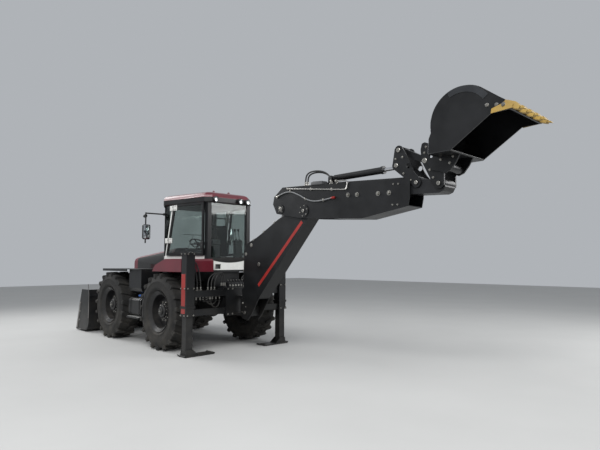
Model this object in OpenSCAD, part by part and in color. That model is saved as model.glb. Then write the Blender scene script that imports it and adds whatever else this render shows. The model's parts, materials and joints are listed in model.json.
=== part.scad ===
// Backhoe loader on four equal wheels, with the rear arm reaching straight back.
// Millimetres. +X is forward, +Y is the machine's left and +Z is up; the wheels stand on Z = 0.
// A profile is drawn as [x, z] pairs, or as [u, v] along and across a link of the rear arm.

/* [Wheels and axles] */
// distance between the front and rear axle
wheelbase = 2170; // [2000:10:2400]
// distance between the middles of the two tyres of one axle
track = 1900; // [1800:10:2000]
// tyre diameter over the lugs
tyre_d = 1420; // [1300:10:1500]
// tyre width over the side walls
tyre_w = 440; // [380:5:500]
// diameter of the rim where the tyre sits
rim_d = 730; // [650:10:800]
// height of a lug above the tyre's carcass
lug_h = 38; // [25:1:45]
// lugs on each half of the tread
lug_count = 19; // [15:1:24]
// diameter of the axle tube
axle_d = 170; // [140:5:200]
// diameter of the wheel hub
hub_d = 300; // [260:10:340]

/* [Frame] */
// distance between the outer faces of the frame rails
rail_span = 620; // [560:10:640]
// thickness of a frame rail
rail_t = 40; // [20:2:50]
// height of a frame rail
rail_h = 230; // [180:10:280]
// height of the rails' lower edge
rail_z = 680; // [600:10:760]
// Diameter of the tow pin's hole in the nose
tow_hole = 40; // [30:2:50]
// front end of the frame, ahead of the front axle
nose_reach = 500; // [450:10:600]
// how far the stabiliser tubes stand behind the rear axle
leg_x = 912; // [850:2:1000]
// distance between the middles of the stabiliser tubes
leg_span = 2146; // [2000:2:2200]
// side of the square outer stabiliser tube
leg_outer = 168; // [150:2:190]
// side of the square inner leg
leg_inner = 132; // [120:2:150]
// wall of the outer stabiliser tube
leg_wall = 12; // [8:1:16]
// bottom of the outer stabiliser tube
leg_low = 685; // [600:5:760]
// top of the outer stabiliser tube
leg_top = 1790; // [1700:5:1900]
// length of a stabiliser foot across the machine
foot_l = 560; // [450:10:620]
// width of a stabiliser foot
foot_w = 260; // [200:10:300]

/* [Cab] */
// half the cab's width at the doors' front posts
cab_half = 725; // [700:5:740]
// half the cab's width at its rear wall
cab_rear_half = 500; // [450:5:560]
// rear wall of the cab, behind the rear axle
cab_rear = 640; // [560:10:700]
// front end of the cab's side wall, ahead of the rear axle
door_front = 560; // [540:10:600]
// door hinge at the sill, ahead of the rear axle
door_x = 480; // [450:5:490]
// windscreen at its foot, ahead of the rear axle
cab_front = 820; // [760:10:880]
// height of the cab's floor frame
cab_floor = 1440; // [1430:5:1500]
// height of the door sill
sill_z = 1755; // [1700:5:1790]
// height of the rear window's lower edge
rear_sill = 1670; // [1620:5:1720]
// thickness of the cab's lower panels
panel_t = 30; // [20:2:40]
// height of the roof's lower edge
roof_z = 2780; // [2700:10:2850]
// thickness of the roof
roof_t = 210; // [150:5:260]
// height of a lifting eye's hole above the roof
eye_rise = 20; // [16:1:30]
// hole of a lifting eye
eye_hole = 30; // [20:1:36]
// width of a cab post
post_w = 80; // [50:5:90]
// how far the roof overhangs the cab's walls
roof_edge = 35; // [20:5:50]
// thickness of the cab's panes
glass_t = 8; // [5:1:12]
// lower edge of the rear fenders
fender_low = 1455; // [1450:5:1500]
// outer edge of the fenders from the middle
fender_half = 1150; // [1100:5:1160]
// thickness of the fender sheet
fender_t = 10; // [6:1:14]

/* [Hood and sides] */
// half the hood's width
hood_half = 355; // [340:5:390]
// height of the hood at the cab
hood_top = 1930; // [1850:10:2000]
// height of the hood at its nose
hood_nose = 1760; // [1700:10:1850]
// thickness of the hood's sheet
hood_t = 8; // [5:1:12]
// rear end of the side tank, ahead of the rear axle
tank_x = 815; // [810:5:850]
// length of the side tank
tank_l = 535; // [450:5:540]

/* [Loader] */
// height of the loader arms' rear pivot
arm_pivot_z = 1560; // [1540:5:1600]
// rear pivot of the loader arms, ahead of the rear axle
arm_pivot_x = 960; // [940:5:980]
// middle of a loader arm from the machine's middle
arm_y = 500; // [490:2:505]
// thickness of a loader arm
arm_t = 76; // [60:2:80]
// bucket pivot, ahead of the rear axle
shovel_pivot_x = 3120; // [3050:10:3200]
// height of the bucket pivot
shovel_pivot_z = 330; // [280:10:400]
// width of the loader bucket
shovel_w = 2350; // [2200:10:2420]
// depth of the loader bucket from its back to its edge
shovel_l = 920; // [850:10:1000]
// height of the loader bucket
shovel_h = 950; // [850:10:1000]
// plate of the loader bucket
shovel_t = 14; // [10:1:20]
// height of the bucket's floor above the ground
shovel_lift = 40; // [20:5:80]
// how far the loader arms turn up from the ground
lift_turn = 75; // [60:1:76]

/* [Rear arm] */
// foot pivot of the boom behind the rear axle
boom_foot_x = 1330; // [1300:5:1360]
// height of the boom's foot pivot
boom_foot_z = 720; // [690:5:760]
// distance between the boom's two pivots
boom_l = 2330; // [2250:5:2400]
// rest angle of the boom above the horizontal
boom_tilt = 48; // [46:0.5:50]
// half the boom's width
boom_half = 130; // [120:2:134]
// boom side plate
boom_plate = 14; // [10:1:18]
// rest angle of the dipper below the horizontal
dipper_dip = 3.5; // [2:0.5:5]
// half the dipper's width
dipper_half = 170; // [165:1:180]
// dipper side plate
dipper_plate = 12; // [10:1:16]
// half the width of the sliding extension
slide_half = 125; // [115:1:130]
// diameter of the arm's main pins
pin_d = 60; // [50:2:70]
// radius of the digging bucket's round back
scoop_r = 408; // [380:2:430]
// width of the digging bucket
scoop_w = 860; // [700:10:900]
// plate of the digging bucket
scoop_t = 14; // [10:1:20]
// teeth on the digging bucket
tooth_count = 5; // [4:1:6]

/* [Fits] */
// gap between a pin and its bore, on the radius
pin_gap = 0.05; // [0.02:0.01:0.1]
// gap between moving pieces side by side
side_gap = 6; // [5:1:10]
// gap between a sliding piece and its bearing strip
slide_gap = 0.3; // [0.2:0.1:0.5]
// gap around a ram's rod in its gland
rod_gap = 0.5; // [0.3:0.1:1]

/* [Hidden] */

black = [0.09, 0.09, 0.09];
dark = [0.14, 0.14, 0.15];
maroon = [0.36, 0.05, 0.08];
white = [0.86, 0.86, 0.84];
glass = [0.16, 0.2, 0.22, 0.6];
yellow = [0.9, 0.72, 0.1];
steel = [0.6, 0.6, 0.62];

tyre_r = tyre_d / 2;
rim_r = rim_d / 2;
axle_z = tyre_r;
wheel_y = track / 2;
rail_y = rail_span / 2 - rail_t / 2;
leg_y = leg_span / 2;
nose_x = wheelbase + nose_reach;

// Steering: the kingpin stands inside the rim, just inboard of the tyre's middle.
kingpin_y = wheel_y - 150;
kingpin_d = 70;
stub_d = 80;

// Loader: joints as [x, z]. The rams stand just inboard of the arms.
arm_pivot = [arm_pivot_x, arm_pivot_z];
shovel_pivot = [shovel_pivot_x, shovel_pivot_z];
lift_foot = arm_pivot + [150, -870];
lift_eye = arm_pivot + [1090, -430];
tilt_foot = shovel_pivot + [-1250, 1115];
tilt_eye = shovel_pivot + [36, 530];
cross_tube = [2725, 1185];
lift_y = arm_y - 82;
tilt_y = lift_y - 13;
tower_y = lift_y - 45;
tower_t = 18;

// Rear frame: two beams across the machine, with the stabiliser tubes at their ends.
beam_t = 40;
beam_h = 110;
beam_low = 685;
beam_high = 1010;

// Cab: the side wall runs straight from the door post in to the rear corner.
cab_front_half = cab_half - 125;
wall_turn = atan2(cab_half - cab_rear_half, door_front + cab_rear);
function wall_y(x) = cab_half - (door_front - x) * tan(wall_turn);
door_t = 34;
door_l = 1065;
door_rim = 42;
door_lean = 200;
door_low = sill_z + 5;
door_hinge = [door_x, wall_y(door_x) + 26];
hinge_lean = atan2(door_lean, roof_z - 10 - door_low);
door_hinge_z = [300, 970];
hinge_d = 18;

// Rear arm: joints as [x, z] in the machine, or [u, v] on their link.
boom_foot = [-boom_foot_x, boom_foot_z];
knuckle = boom_foot + boom_l * [-cos(boom_tilt), sin(boom_tilt)];
boom_ram_foot = boom_foot + [80, 370];
boom_ram_uv = [1010, 690];
dipper_ram_uv = [900, 300];
tail_uv = [-553, 33];
slide_reach = 1990;
lever_uv = [2070, 346];
lever_ram_uv = lever_uv + [-328, 250];
lever_link_uv = lever_uv + [-298, 455];
scoop_uv = [2405, 318];
hitch_uv = scoop_uv + [-219, 305];
bucket_ram_uv = [440, 512];
slide_axis_v = 292;
slide_h = 184;
travel = 1000;
hood_low = 1240;
hood_hinge = [nose_x - 30, hood_low + 22];
cowl_y = 342;
swing = [-boom_foot_x + 190, 0];
swing_d = 90;
swing_lug_z = [640, 960];
post_half = boom_half - boom_plate - side_gap;
ear_in = 74;
leg_travel = 540;
shift_travel = 500;
eye_gap = 0.5;

function uv_at(p, origin, tilt) = origin + [
    -p.x * cos(tilt) + p.y * sin(tilt),
    p.x * sin(tilt) + p.y * cos(tilt)
];
function on_boom(p) = uv_at(p, boom_foot, boom_tilt);
function on_dipper(p) = uv_at(p, knuckle, -dipper_dip);
function span(a, b) = norm(b - a);
function heading(a, b) = atan2(b.y - a.y, b.x - a.x);

scoop_tip = [3545, 1038];
rear_x = on_dipper(scoop_tip).x;
front_x = shovel_pivot_x + shovel_l - 60;
shift_x = -(rear_x + front_x) / 2;

module placed() { translate([shift_x, 0, 0]) children(); }
module both(y) { for (side = [-1, 1]) translate([0, side * y, 0]) children(); }
module at(p, y = 0) { translate([p.x, y, p.y]) children(); }
module profile(points, t) { rotate([90, 0, 0]) linear_extrude(t, center = true) polygon(points); }
module rod_y(d, w, fn = 32) { rotate([90, 0, 0]) cylinder(d = d, h = w, center = true, $fn = fn); }
module ring_y(d, hole, w) {
    difference() {
        rod_y(d, w);
        rod_y(hole, w + 2);
    }
}
// A plate drawn as [y, z] and standing from x0 to x1.
module yz_plate(points, x0, x1) { translate([x0, 0, 0]) rotate([90, 0, 90]) linear_extrude(x1 - x0) polygon(points); }
module box(x0, x1, y0, y1, z0, z1) { translate([x0, y0, z0]) cube([x1 - x0, y1 - y0, z1 - z0]); }
module link_frame(origin, tilt) { at(origin) rotate([0, tilt, 0]) children(); }
module boom_frame() { link_frame(boom_foot, boom_tilt) children(); }
module dipper_frame() { link_frame(knuckle, -dipper_dip) children(); }
// A plate on a link, drawn as [u, v]; u runs to the rear, against x.
module uv_plate(points, t) { profile([for (p = points) [-p.x, p.y]], t); }
module at_uv(p, y = 0) { translate([-p.x, y, p.y]) children(); }
module pin_bore(w, d = pin_d) { rod_y(d + 2 * pin_gap, w, 48); }
module pin(w, d = pin_d) { rod_y(d, w, 48); }

// Ram between two [x, z] points. Its barrel and rod lie along +x from the foot.
module ram_place(from, to, y = 0) { at(from, y) rotate([0, -heading(from, to), 0]) children(); }
module ram_barrel(l, d, rod, eye_w, eye_d) {
    body = eye_d * 0.5 + 12;
    difference() {
        union() {
            rotate([0, 90, 0]) cylinder(d = min(d, eye_w) - 6, h = body + 10, $fn = 32);
            translate([body, 0, 0]) rotate([0, 90, 0]) cylinder(d = d, h = l - body, $fn = 32);
            translate([l - 45, 0, 0]) rotate([0, 90, 0]) cylinder(d = d + 14, h = 45, $fn = 32);
            rod_y(eye_d, eye_w);
        }
        translate([body + 16, 0, 0]) rotate([0, 90, 0]) cylinder(d = d - 18, h = l - body - 61, $fn = 32);
        translate([l - 60, 0, 0]) rotate([0, 90, 0]) cylinder(d = rod + 2 * rod_gap, h = 80, $fn = 32);
        pin_bore(eye_w + 2, eye_d * 0.5);
    }
}
// The rod's eye carries its pin, which ends just short of the lugs beside it.
module ram_rod(from, l, rod, eye_w, eye_d, pin_in, pin_out) {
    translate([from, 0, 0]) rotate([0, 90, 0]) cylinder(d = rod, h = l - from, $fn = 32);
    translate([l, 0, 0]) rod_y(eye_d, eye_w);
    translate([l, (pin_out - pin_in) / 2, 0]) rod_y(eye_d * 0.5, pin_in + pin_out);
}

// Drawn along a door's hinge pin, which leans back with the post; z runs up from the sill.
module on_hinge(side) on_wall(side) translate([0, 0, sill_z]) rotate([0, -hinge_lean, 0]) children();

// chassis
module chassis_frame() color(black) {
    both(rail_y) box(-leg_x + 96, nose_x - 50, -rail_t / 2, rail_t / 2, rail_z, rail_z + rail_h);
    for (x = [-430, 420, 1000]) box(x, x + 60, -rail_y, rail_y, rail_z + 20, rail_z + rail_h - 20);
    box(-250, 1000, -rail_y, rail_y, rail_z + 2, rail_z + 14);
}
// The nose beam across the rails, with two lugs and the tow pin's hole.
module nose_beam() color(black) difference() {
    union() {
        box(nose_x - 50, nose_x + 20, -350, 350, rail_z - 20, rail_z + rail_h + 60);
        for (z = [rail_z + 40, rail_z + 135]) box(nose_x + 10, nose_x + 100, -60, 60, z, z + 35);
    }
    translate([nose_x + 60, 0, rail_z]) cylinder(d = tow_hole, h = rail_h, $fn = 32);
}
// Towers that carry the loader arms and the feet of the lift rams, standing on the rails.
module loader_tower() color(black) {
    rail_top = rail_z + rail_h;
    rail_out = rail_y + rail_t / 2;
    pin_in = tower_y - tower_t / 2;
    pin_out = arm_y + arm_t / 2 + 15;
    both(tower_y) profile([
        [arm_pivot_x - 100, rail_top - 90], [arm_pivot_x + 130, rail_top - 90], [arm_pivot_x + 90, arm_pivot_z],
        [arm_pivot_x + 50, arm_pivot_z + 80], [arm_pivot_x - 50, arm_pivot_z + 80], [arm_pivot_x - 80, arm_pivot_z]
    ], tower_t);
    for (side = [-1, 1]) {
        at(arm_pivot, side * (pin_in + pin_out) / 2) pin(pin_out - pin_in);
        at(arm_pivot, side * (pin_in + tower_y + tower_t / 2 + 12) / 2) rod_y(150, tower_t + 12);
        at(lift_foot, side * (rail_out + lift_y + 40) / 2) pin(lift_y + 40 - rail_out, 40);
    }
    hood_stand();
    both((rail_out + tower_y) / 2)
        box(arm_pivot_x - 60, arm_pivot_x + 100, -(tower_y - rail_out) / 2, (tower_y - rail_out) / 2, rail_top - 90, rail_top - 10);
}
// Plates that carry the cab, the sheets beside the engine and the hood's hinge.
module cab_stand() color(black) {
    rail_top = rail_z + rail_h;
    both(rail_y) profile([
        [-560, rail_top], [-320, rail_top], [-200, cab_floor - 180], [480, cab_floor - 180],
        [560, rail_top], [740, rail_top], [740, cab_floor], [-560, cab_floor]
    ], 20);
    for (x = [-560, 720]) box(x, x + 20, -rail_y, rail_y, cab_floor - 260, cab_floor);
}
// Sheets beside the engine, their feet on the rails and the hood's hinge.
module hood_stand() {
    rail_top = rail_z + rail_h;
    foot_y = rail_y + rail_t / 2;
    both(cowl_y) box(arm_pivot_x + 160, nose_x - 50, -4, 4, rail_top - 20, hood_low - 24);
    both(cowl_y) box(nose_x - 60, nose_x - 10, -4, 4, rail_top + 60, hood_low - 24);
    box(nose_x - 40, nose_x - 10, -cowl_y - 4, cowl_y + 4, rail_top + 60, hood_low - 24);
    for (x = [arm_pivot_x + 160, nose_x - 80]) both((foot_y + cowl_y) / 2)
        box(x, x + 30, -(cowl_y - foot_y) / 2, (cowl_y - foot_y) / 2, rail_top - 60, rail_top);
    both(200) box(hood_hinge.x - 14, hood_hinge.x + 14, -6, 6, hood_low - 60, hood_hinge.y + 14);
    at(hood_hinge) pin(500, 20);
}
module axle_housings() color(black) for (x = [0, wheelbase]) translate([x, 0, axle_z]) {
    difference() {
        union() {
            rod_y(axle_d, 2 * kingpin_y - 200, 32);
            rotate([0, 90, 0]) cylinder(d = 330, h = 250, center = true, $fn = 32);
            both(kingpin_y - 130) box(-50, 50, -30, 30, -135, 135);
            for (z = [-135, 105]) both(kingpin_y) {
                translate([0, 0, z]) cylinder(d = 130, h = 30, $fn = 32);
            }
            for (side = [-1, 1], z = [-135, 105])
                box(-50, 50, side > 0 ? kingpin_y - 110 : -kingpin_y, side > 0 ? kingpin_y : 110 - kingpin_y, z, z + 30);
        }
        both(kingpin_y) cylinder(d = kingpin_d + 2 * pin_gap, h = 400, center = true, $fn = 32);
        box(-200, 200, -rail_y - rail_t, rail_y + rail_t, rail_z - axle_z, 400);
    }
}

module engine_block() color(dark) {
    rail_top = rail_z + rail_h;
    box(1110, 2400, -220, 220, rail_top + 60, hood_top - 330);
    box(300, 1111, -160, 160, rail_top - 20, 1180);
    for (x = [1200, 2200]) box(x, x + 100, -rail_y, rail_y, rail_top, rail_top + 80);
}
module rear_frame() color(black) {
    hollow = leg_inner + 2 * side_gap;
    pad = side_gap - slide_gap;
    difference() {
        union() {
            both(leg_y) box(-leg_x - leg_outer / 2, -leg_x + leg_outer / 2, -leg_outer / 2, leg_outer / 2, leg_low, leg_top);
            // collars and caps of the outer tubes
            for (z = [leg_low, beam_low + beam_h + 30, leg_top - 40]) both(leg_y)
                box(-leg_x - leg_outer / 2 - 12, -leg_x + leg_outer / 2 + 12, -leg_outer / 2 - 12, leg_outer / 2 + 12, z, z + 40);
            for (z = [beam_low, beam_high]) box(-leg_x - beam_t, -leg_x + beam_t, -leg_y, leg_y, z, z + beam_h);
            both(rail_y) box(-leg_x, -leg_x + 96, -rail_t / 2, rail_t / 2, beam_low, beam_high + beam_h);
        }
        both(leg_y) translate([-leg_x - hollow / 2, -hollow / 2, leg_low - 1]) cube([hollow, hollow, leg_top - leg_low - 9]);
    }
    // bearing strips that the leg runs on
    for (side = [-1, 1], turn = [0, 90, 180, 270])
        translate([-leg_x, side * leg_y, leg_low]) rotate([0, 0, turn]) translate([leg_inner / 2 + slide_gap, -40, 0]) cube([pad, 80, 120]);
}
// Control valve of the rear arm on a shelf between the frame's side plates.
module valve_block() color(dark) {
    shelf = beam_high + beam_h;
    box(-leg_x + 30, -690, -rail_y - rail_t / 2, rail_y + rail_t / 2, shelf, shelf + 12);
    for (i = [0 : 5]) box(-850, -720, -230 + i * 66, -172 + i * 66, shelf + 12, shelf + 126);
    box(-840, -730, -240, 170, shelf + 12, shelf + 104);
    for (i = [0 : 5]) translate([-785, -201 + i * 66, shelf + 120]) cylinder(d = 34, h = 44, $fn = 24);
    for (y = [-120, 60]) translate([-700, y, shelf + 60]) rotate([0, -90, 0]) cylinder(d = 46, h = 30, $fn = 24);
    box(-852, -722, 196, 286, shelf + 12, shelf + 70);
}
// cab
module cab_plan(inset = 0) {
    polygon([
        [-cab_rear + inset, -cab_rear_half + inset], [door_front, -cab_half + inset],
        [cab_front - inset, -cab_front_half + inset], [cab_front - inset, cab_front_half - inset],
        [door_front, cab_half - inset], [-cab_rear + inset, cab_rear_half - inset]
    ]);
}
module cab_frame() color(black) {
    translate([0, 0, cab_floor]) linear_extrude(40) cab_plan();
    for (side = [-1, 1]) {
        cab_corner(-cab_rear, side * cab_rear_half, rear_sill);
        cab_corner(cab_front, side * cab_front_half, sill_z - 5);
    }
    // header behind the panes
    translate([0, 0, roof_z - 50]) linear_extrude(50) difference() {
        cab_plan(53);
        cab_plan(post_w + 15);
    }
}
// A corner post stands inside the panels and widens to the cab's face above them.
module cab_corner(x, y, low) {
    for (part = [[cab_floor, panel_t], [low, 0]]) translate([0, 0, part.x]) linear_extrude(roof_z - part.x) intersection() {
        cab_plan(part.y);
        translate([x, y]) square(2 * post_w, center = true);
    }
}
module cab_panels() color(white) {
    difference() {
        translate([0, 0, cab_floor + 40]) linear_extrude(sill_z - cab_floor - 45) difference() {
            cab_plan();
            cab_plan(panel_t);
        }
        box(-cab_rear - 1, -cab_rear + post_w, -cab_half, cab_half, rear_sill, sill_z);
        box(-cab_rear - 1, -cab_rear + panel_t + 1, 190, 320, cab_floor + 60, cab_floor + 150);
    }
    for (side = [-1, 1]) {
        on_wall(side) translate([0, -51, 0]) profile([
            [14, sill_z - 60], [74, sill_z - 60], [74 - door_lean, roof_z], [14 - door_lean, roof_z]
        ], 50);
        on_hinge(side) for (z = door_hinge_z) {
            translate([0, 0, z - 32]) cylinder(d = hinge_d, h = 92, $fn = 24);
            translate([-9, -50, z - 32]) cube([40, 50, 30]);
        }
    }
}

// The roof's plan is cut on each side to the same crowned edge.
module cab_roof() color(maroon) {
    intersection() {
        translate([0, 0, roof_z]) linear_extrude(roof_t) cab_plan(-roof_edge);
        roof_side([-cab_rear - roof_edge, 0], 180);
        roof_side([cab_front + roof_edge, 0], 0);
        roof_side([door_front, cab_half + roof_edge], 90 + wall_turn);
        roof_side([door_front, -cab_half - roof_edge], -90 - wall_turn);
        roof_side([cab_front + roof_edge - 50, cab_front_half + roof_edge - 45], 50);
        roof_side([cab_front + roof_edge - 50, -cab_front_half - roof_edge + 45], -50);
        roof_side([-cab_rear - roof_edge + 45, cab_rear_half + roof_edge - 50], 140);
        roof_side([-cab_rear - roof_edge + 45, -cab_rear_half - roof_edge + 50], -140);
    }
    // lifting eyes
    for (side = [-1, 1]) translate([-cab_rear + 300, side * 180, roof_z + roof_t + eye_rise]) difference() {
        rod_y(64, 14);
        rod_y(eye_hole, 20);
    }
}
module roof_side(p, turn) {
    top = roof_z + roof_t;
    translate([p.x, p.y, 0]) rotate([0, 0, turn]) profile([
        [0, roof_z], [0, top - 120], [-14, top - 80], [-50, top - 42], [-120, top - 16], [-260, top],
        [-4000, top], [-4000, roof_z]
    ], 6000);
}
// Panes between the posts: the rear and front windows and the bent quarter lights ahead of the doors.
module cab_glass() color(glass) difference() {
    union() {
        pane_ring(sill_z - 5);
        intersection() {
            pane_ring(rear_sill);
            box(-cab_rear, -cab_rear + post_w, -cab_half, cab_half, rear_sill, roof_z);
        }
    }
    for (side = [-1, 1], p = [[-cab_rear, cab_rear_half], [cab_front, cab_front_half]])
        translate([p.x - post_w, side * p.y - post_w, rear_sill - 1]) cube([2 * post_w, 2 * post_w, roof_z]);
    for (side = [-1, 1]) on_wall(side) translate([0, -60, 0]) profile([
        [-1100, sill_z - 60], [74, sill_z - 60], [74 - door_lean, roof_z], [-1100, roof_z]
    ], 180);
}
module pane_ring(low) {
    translate([0, 0, low]) linear_extrude(roof_z - low) difference() {
        cab_plan(15);
        cab_plan(15 + glass_t);
    }
}
module rear_fenders() color(maroon) for (side = [-1, 1]) scale([1, side, 1]) intersection() {
    difference() {
        fender_shape(0);
        fender_shape(fender_t);
    }
    linear_extrude(2000) polygon([
        [-900, fender_half], [-900, wall_y(-900) + 0.3], [330, wall_y(330) + 0.3], [330, fender_half]
    ]);
}
module fender_shape(t) {
    translate([0, (400 + fender_half) / 2 - t, 0]) profile([
        [-800 + t, fender_low - 2 * t], [-800 + t, 1650 - t], [-765, 1690 - t], [-230, 1690 - t], [150, 1575 - t],
        [262, fender_low - 2 * t]
    ], fender_half - 400);
}
module front_fenders() color(black) for (side = [-1, 1]) scale([1, side, 1]) {
    fender_top = 1490;
    front = wheelbase + 390;
    box(tank_x + 15, front, 600, fender_half, fender_top - fender_t, fender_top);
    box(tank_x + tank_l, front, fender_half - fender_t, fender_half, fender_top - 50, fender_top);
    box(front - 10, front, 600, fender_half, fender_top - 50, fender_top);
    translate([0, 705, 0]) profile([
        [tank_x + tank_l, fender_top - 190], [tank_x + tank_l, fender_top - 5], [tank_x + tank_l + 250, fender_top - 5]
    ], 10);
}
// The seat's base, the front console and the steering wheel.
module cab_fittings() color(dark) {
    box(-100, 300, -180, 180, cab_floor + 40, cab_floor + 300);
    box(-140, 345, -230, 230, cab_floor + 300, cab_floor + 330);
    box(-290, -262, -190, 190, cab_floor + 300, cab_floor + 900);
    box(-290, -130, -190, 190, cab_floor + 300, cab_floor + 330);
    box(560, 700, -120, 120, cab_floor + 40, cab_floor + 450);
    translate([560, 0, cab_floor + 430]) rotate([0, -35, 0]) {
        cylinder(d = 50, h = 180, $fn = 24);
        translate([0, 0, 170]) rotate_extrude($fn = 36) translate([185, 0]) circle(d = 26, $fn = 16);
        translate([0, 0, 165]) cube([370, 30, 10], center = true);
        translate([0, 0, 165]) cube([30, 370, 10], center = true);
    }
}
module seat() color(dark) {
    box(-140, 350, -240, 240, cab_floor + 330, cab_floor + 440);
    box(-262, -150, -240, 240, cab_floor + 330, cab_floor + 950);
}

module side_tanks() color(black) for (side = [-1, 1]) scale([1, side, 1]) {
    front = tank_x + tank_l;
    yz_plate([
        [720, 600], [760, 560], [1050, 560], [1090, 600], [1090, 860], [1050, 900], [760, 900], [720, 860]
    ], tank_x, front);
    yz_plate([[700, 1000], [980, 1000], [1060, 1040], [1090, 1110], [1090, 1480], [700, 1480]], tank_x, front);
    // straps, filler, step and its carriers
    for (x = [tank_x + 60, front - 110]) yz_plate([
        [712, 596], [757, 552], [1053, 552], [1098, 596], [1098, 864], [1053, 908], [757, 908], [712, 864]
    ], x, x + 40);
    for (x = [tank_x + 40, front - 100]) box(x, x + 60, 740, 800, 890, 1010);
    translate([tank_x + 160, 1000, 890]) cylinder(d = 90, h = 50, $fn = 32);
    box(tank_x, front, 800, 1130, 500, 530);
    for (x = [tank_x + 80, front - 120]) box(x, x + 40, 820, 900, 520, 570);
    box(tank_x + 20, tank_x + 80, rail_span / 2, 730, 700, 780);
}
module lamps() color(dark) {
    for (y = [-380, -200, 380]) translate([-cab_rear - roof_edge, y, roof_z + 45]) rotate([0, -90, 0]) lamp_body();
    for (y = [-460, 460]) translate([cab_front + roof_edge, y, roof_z + 45]) rotate([0, 90, 0]) lamp_body();
}
// Work lamp with a dished front and a short hood over it.
module lamp_body() difference() {
    cylinder(d = 108, h = 62, $fn = 32);
    translate([0, 0, 50]) cylinder(d = 92, h = 20, $fn = 32);
}
module mirrors() color(black) for (side = [-1, 1]) scale([1, side, 1]) {
    arm_x = cab_front - 55;
    difference() {
        box(arm_x - 20, arm_x + 20, cab_front_half - 10, cab_front_half + 60, 2590, 2640);
        translate([0, 0, 2500]) linear_extrude(200) cab_plan();
    }
    translate([arm_x, cab_front_half + 50, 2615]) rotate([-90, 0, 0]) cylinder(d = 28, h = 400, $fn = 24);
    translate([arm_x, cab_front_half + 450, 2010]) cylinder(d = 28, h = 619, $fn = 24);
    yz_plate([
        [965, 2110], [990, 2085], [1100, 2085], [1125, 2110], [1125, 2360], [1100, 2385], [990, 2385], [965, 2360]
    ], arm_x - 40, arm_x - 5);
    translate([arm_x, cab_front_half + 450, 2560]) rotate([0, 90, 0]) cylinder(d = 70, h = 50, $fn = 24);
}
module hood() color(maroon) {
    difference() {
        hood_shape(hood_half, 0);
        hood_shape(hood_half - hood_t, hood_t);
        // louvres in both sides and the grille's opening in front
        for (i = [0 : 8]) box(1330 + i * 62, 1356 + i * 62, -hood_half - 5, hood_half + 5, 1400, 1590);
        box(nose_x - hood_t - 1, nose_x + 1, -250, 250, 1328, 1585);
        both(200) box(nose_x - hood_t - 1, nose_x + 1, -14, 14, hood_low - 1, hood_low + 66);
    }
    both(228) difference() {
        box(hood_hinge.x - 16, nose_x - 4, -8, 8, hood_low + 4, hood_low + 44);
        at(hood_hinge) pin_bore(40, 20);
    }
}
hood_slope = atan2(hood_top - hood_nose, nose_x - 150 - cab_front - 20);
module hood_shape(half, t) intersection() {
    profile([
        [cab_front + 20 + t, hood_low - t], [cab_front + 20 + t, hood_top - t], [nose_x - 150 - t, hood_nose - t],
        [nose_x - 80 - t, hood_nose - 22 - t], [nose_x - 25 - t, hood_nose - 70 - t], [nose_x - t, hood_nose - 150 - t],
        [nose_x - t, hood_low - t]
    ], 2 * half);
    translate([cab_front + 20, 0, hood_top - t]) rotate([0, hood_slope, 0]) yz_plate([
        [-half, -1500], [half, -1500], [half, -90], [half - 14, -44], [half - 44, -14], [half - 90, 0],
        [90 - half, 0], [44 - half, -14], [14 - half, -44], [-half, -90]
    ], -500, 3000);
}
// Slatted plate behind the hood's front opening, with the two head lamps.
module grille() color(black) {
    face = nose_x - hood_t;
    difference() {
        box(face - 12, face, -275, 275, 1308, 1602);
        for (i = [0 : 7], side = [-1, 1]) translate([0, side * 125, 0]) box(face - 13, face + 1, -112, 112, 1330 + i * 32, 1347 + i * 32);
    }
    both(150) translate([face - 30, 0, 1500]) rotate([0, 90, 0]) difference() {
        cylinder(d = 150, h = 34, $fn = 32);
        translate([0, 0, 26]) cylinder(d = 128, h = 20, $fn = 32);
    }
}
// The door stands on the slanted wall; its x runs back from the hinge.
module on_wall(side) scale([1, side, 1]) translate([door_hinge.x, door_hinge.y, 0]) rotate([0, 0, wall_turn]) children();
function door_outline(e) = [
    [-door_l + e, door_low + e], [-14 - e, door_low + e], [-14 - door_lean - e, roof_z - 10 - e],
    [-door_l + e, roof_z - 10 - e]
];
module door(side) color(black) difference() {
    union() {
        on_wall(side) profile(door_outline(0), door_t);
        on_hinge(side) for (z = door_hinge_z) translate([0, 0, z]) {
            cylinder(d = 2 * hinge_d, h = 60, $fn = 24);
            translate([-75, -10, 0]) cube([75, 20, 60]);
        }
    }
    on_wall(side) profile(door_outline(door_rim), door_t + 20);
    on_hinge(side) translate([0, 0, 200]) cylinder(d = hinge_d + 2 * pin_gap, h = 1000, $fn = 24);
}
module door_left() door(1);
module door_right() door(-1);
module door_glass(side) color(glass) on_wall(side) profile(door_outline(door_rim + 0.2), glass_t);
module door_glass_left() door_glass(1);
module door_glass_right() door_glass(-1);

// wheels
module knuckle_part(x, side) color(black) translate([x, side * kingpin_y, axle_z]) scale([1, side, 1]) {
    cylinder(d = kingpin_d, h = 280, center = true, $fn = 32);
    cylinder(d = 150, h = 190, center = true, $fn = 32);
    rotate([-90, 0, 0]) cylinder(d = 140, h = wheel_y - kingpin_y + 10, $fn = 32);
    rotate([-90, 0, 0]) cylinder(d = stub_d, h = wheel_y - kingpin_y + 100, $fn = 32);
}
module knuckle_front_left() knuckle_part(wheelbase, 1);
module knuckle_front_right() knuckle_part(wheelbase, -1);
module knuckle_rear_left() knuckle_part(0, 1);
module knuckle_rear_right() knuckle_part(0, -1);

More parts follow.
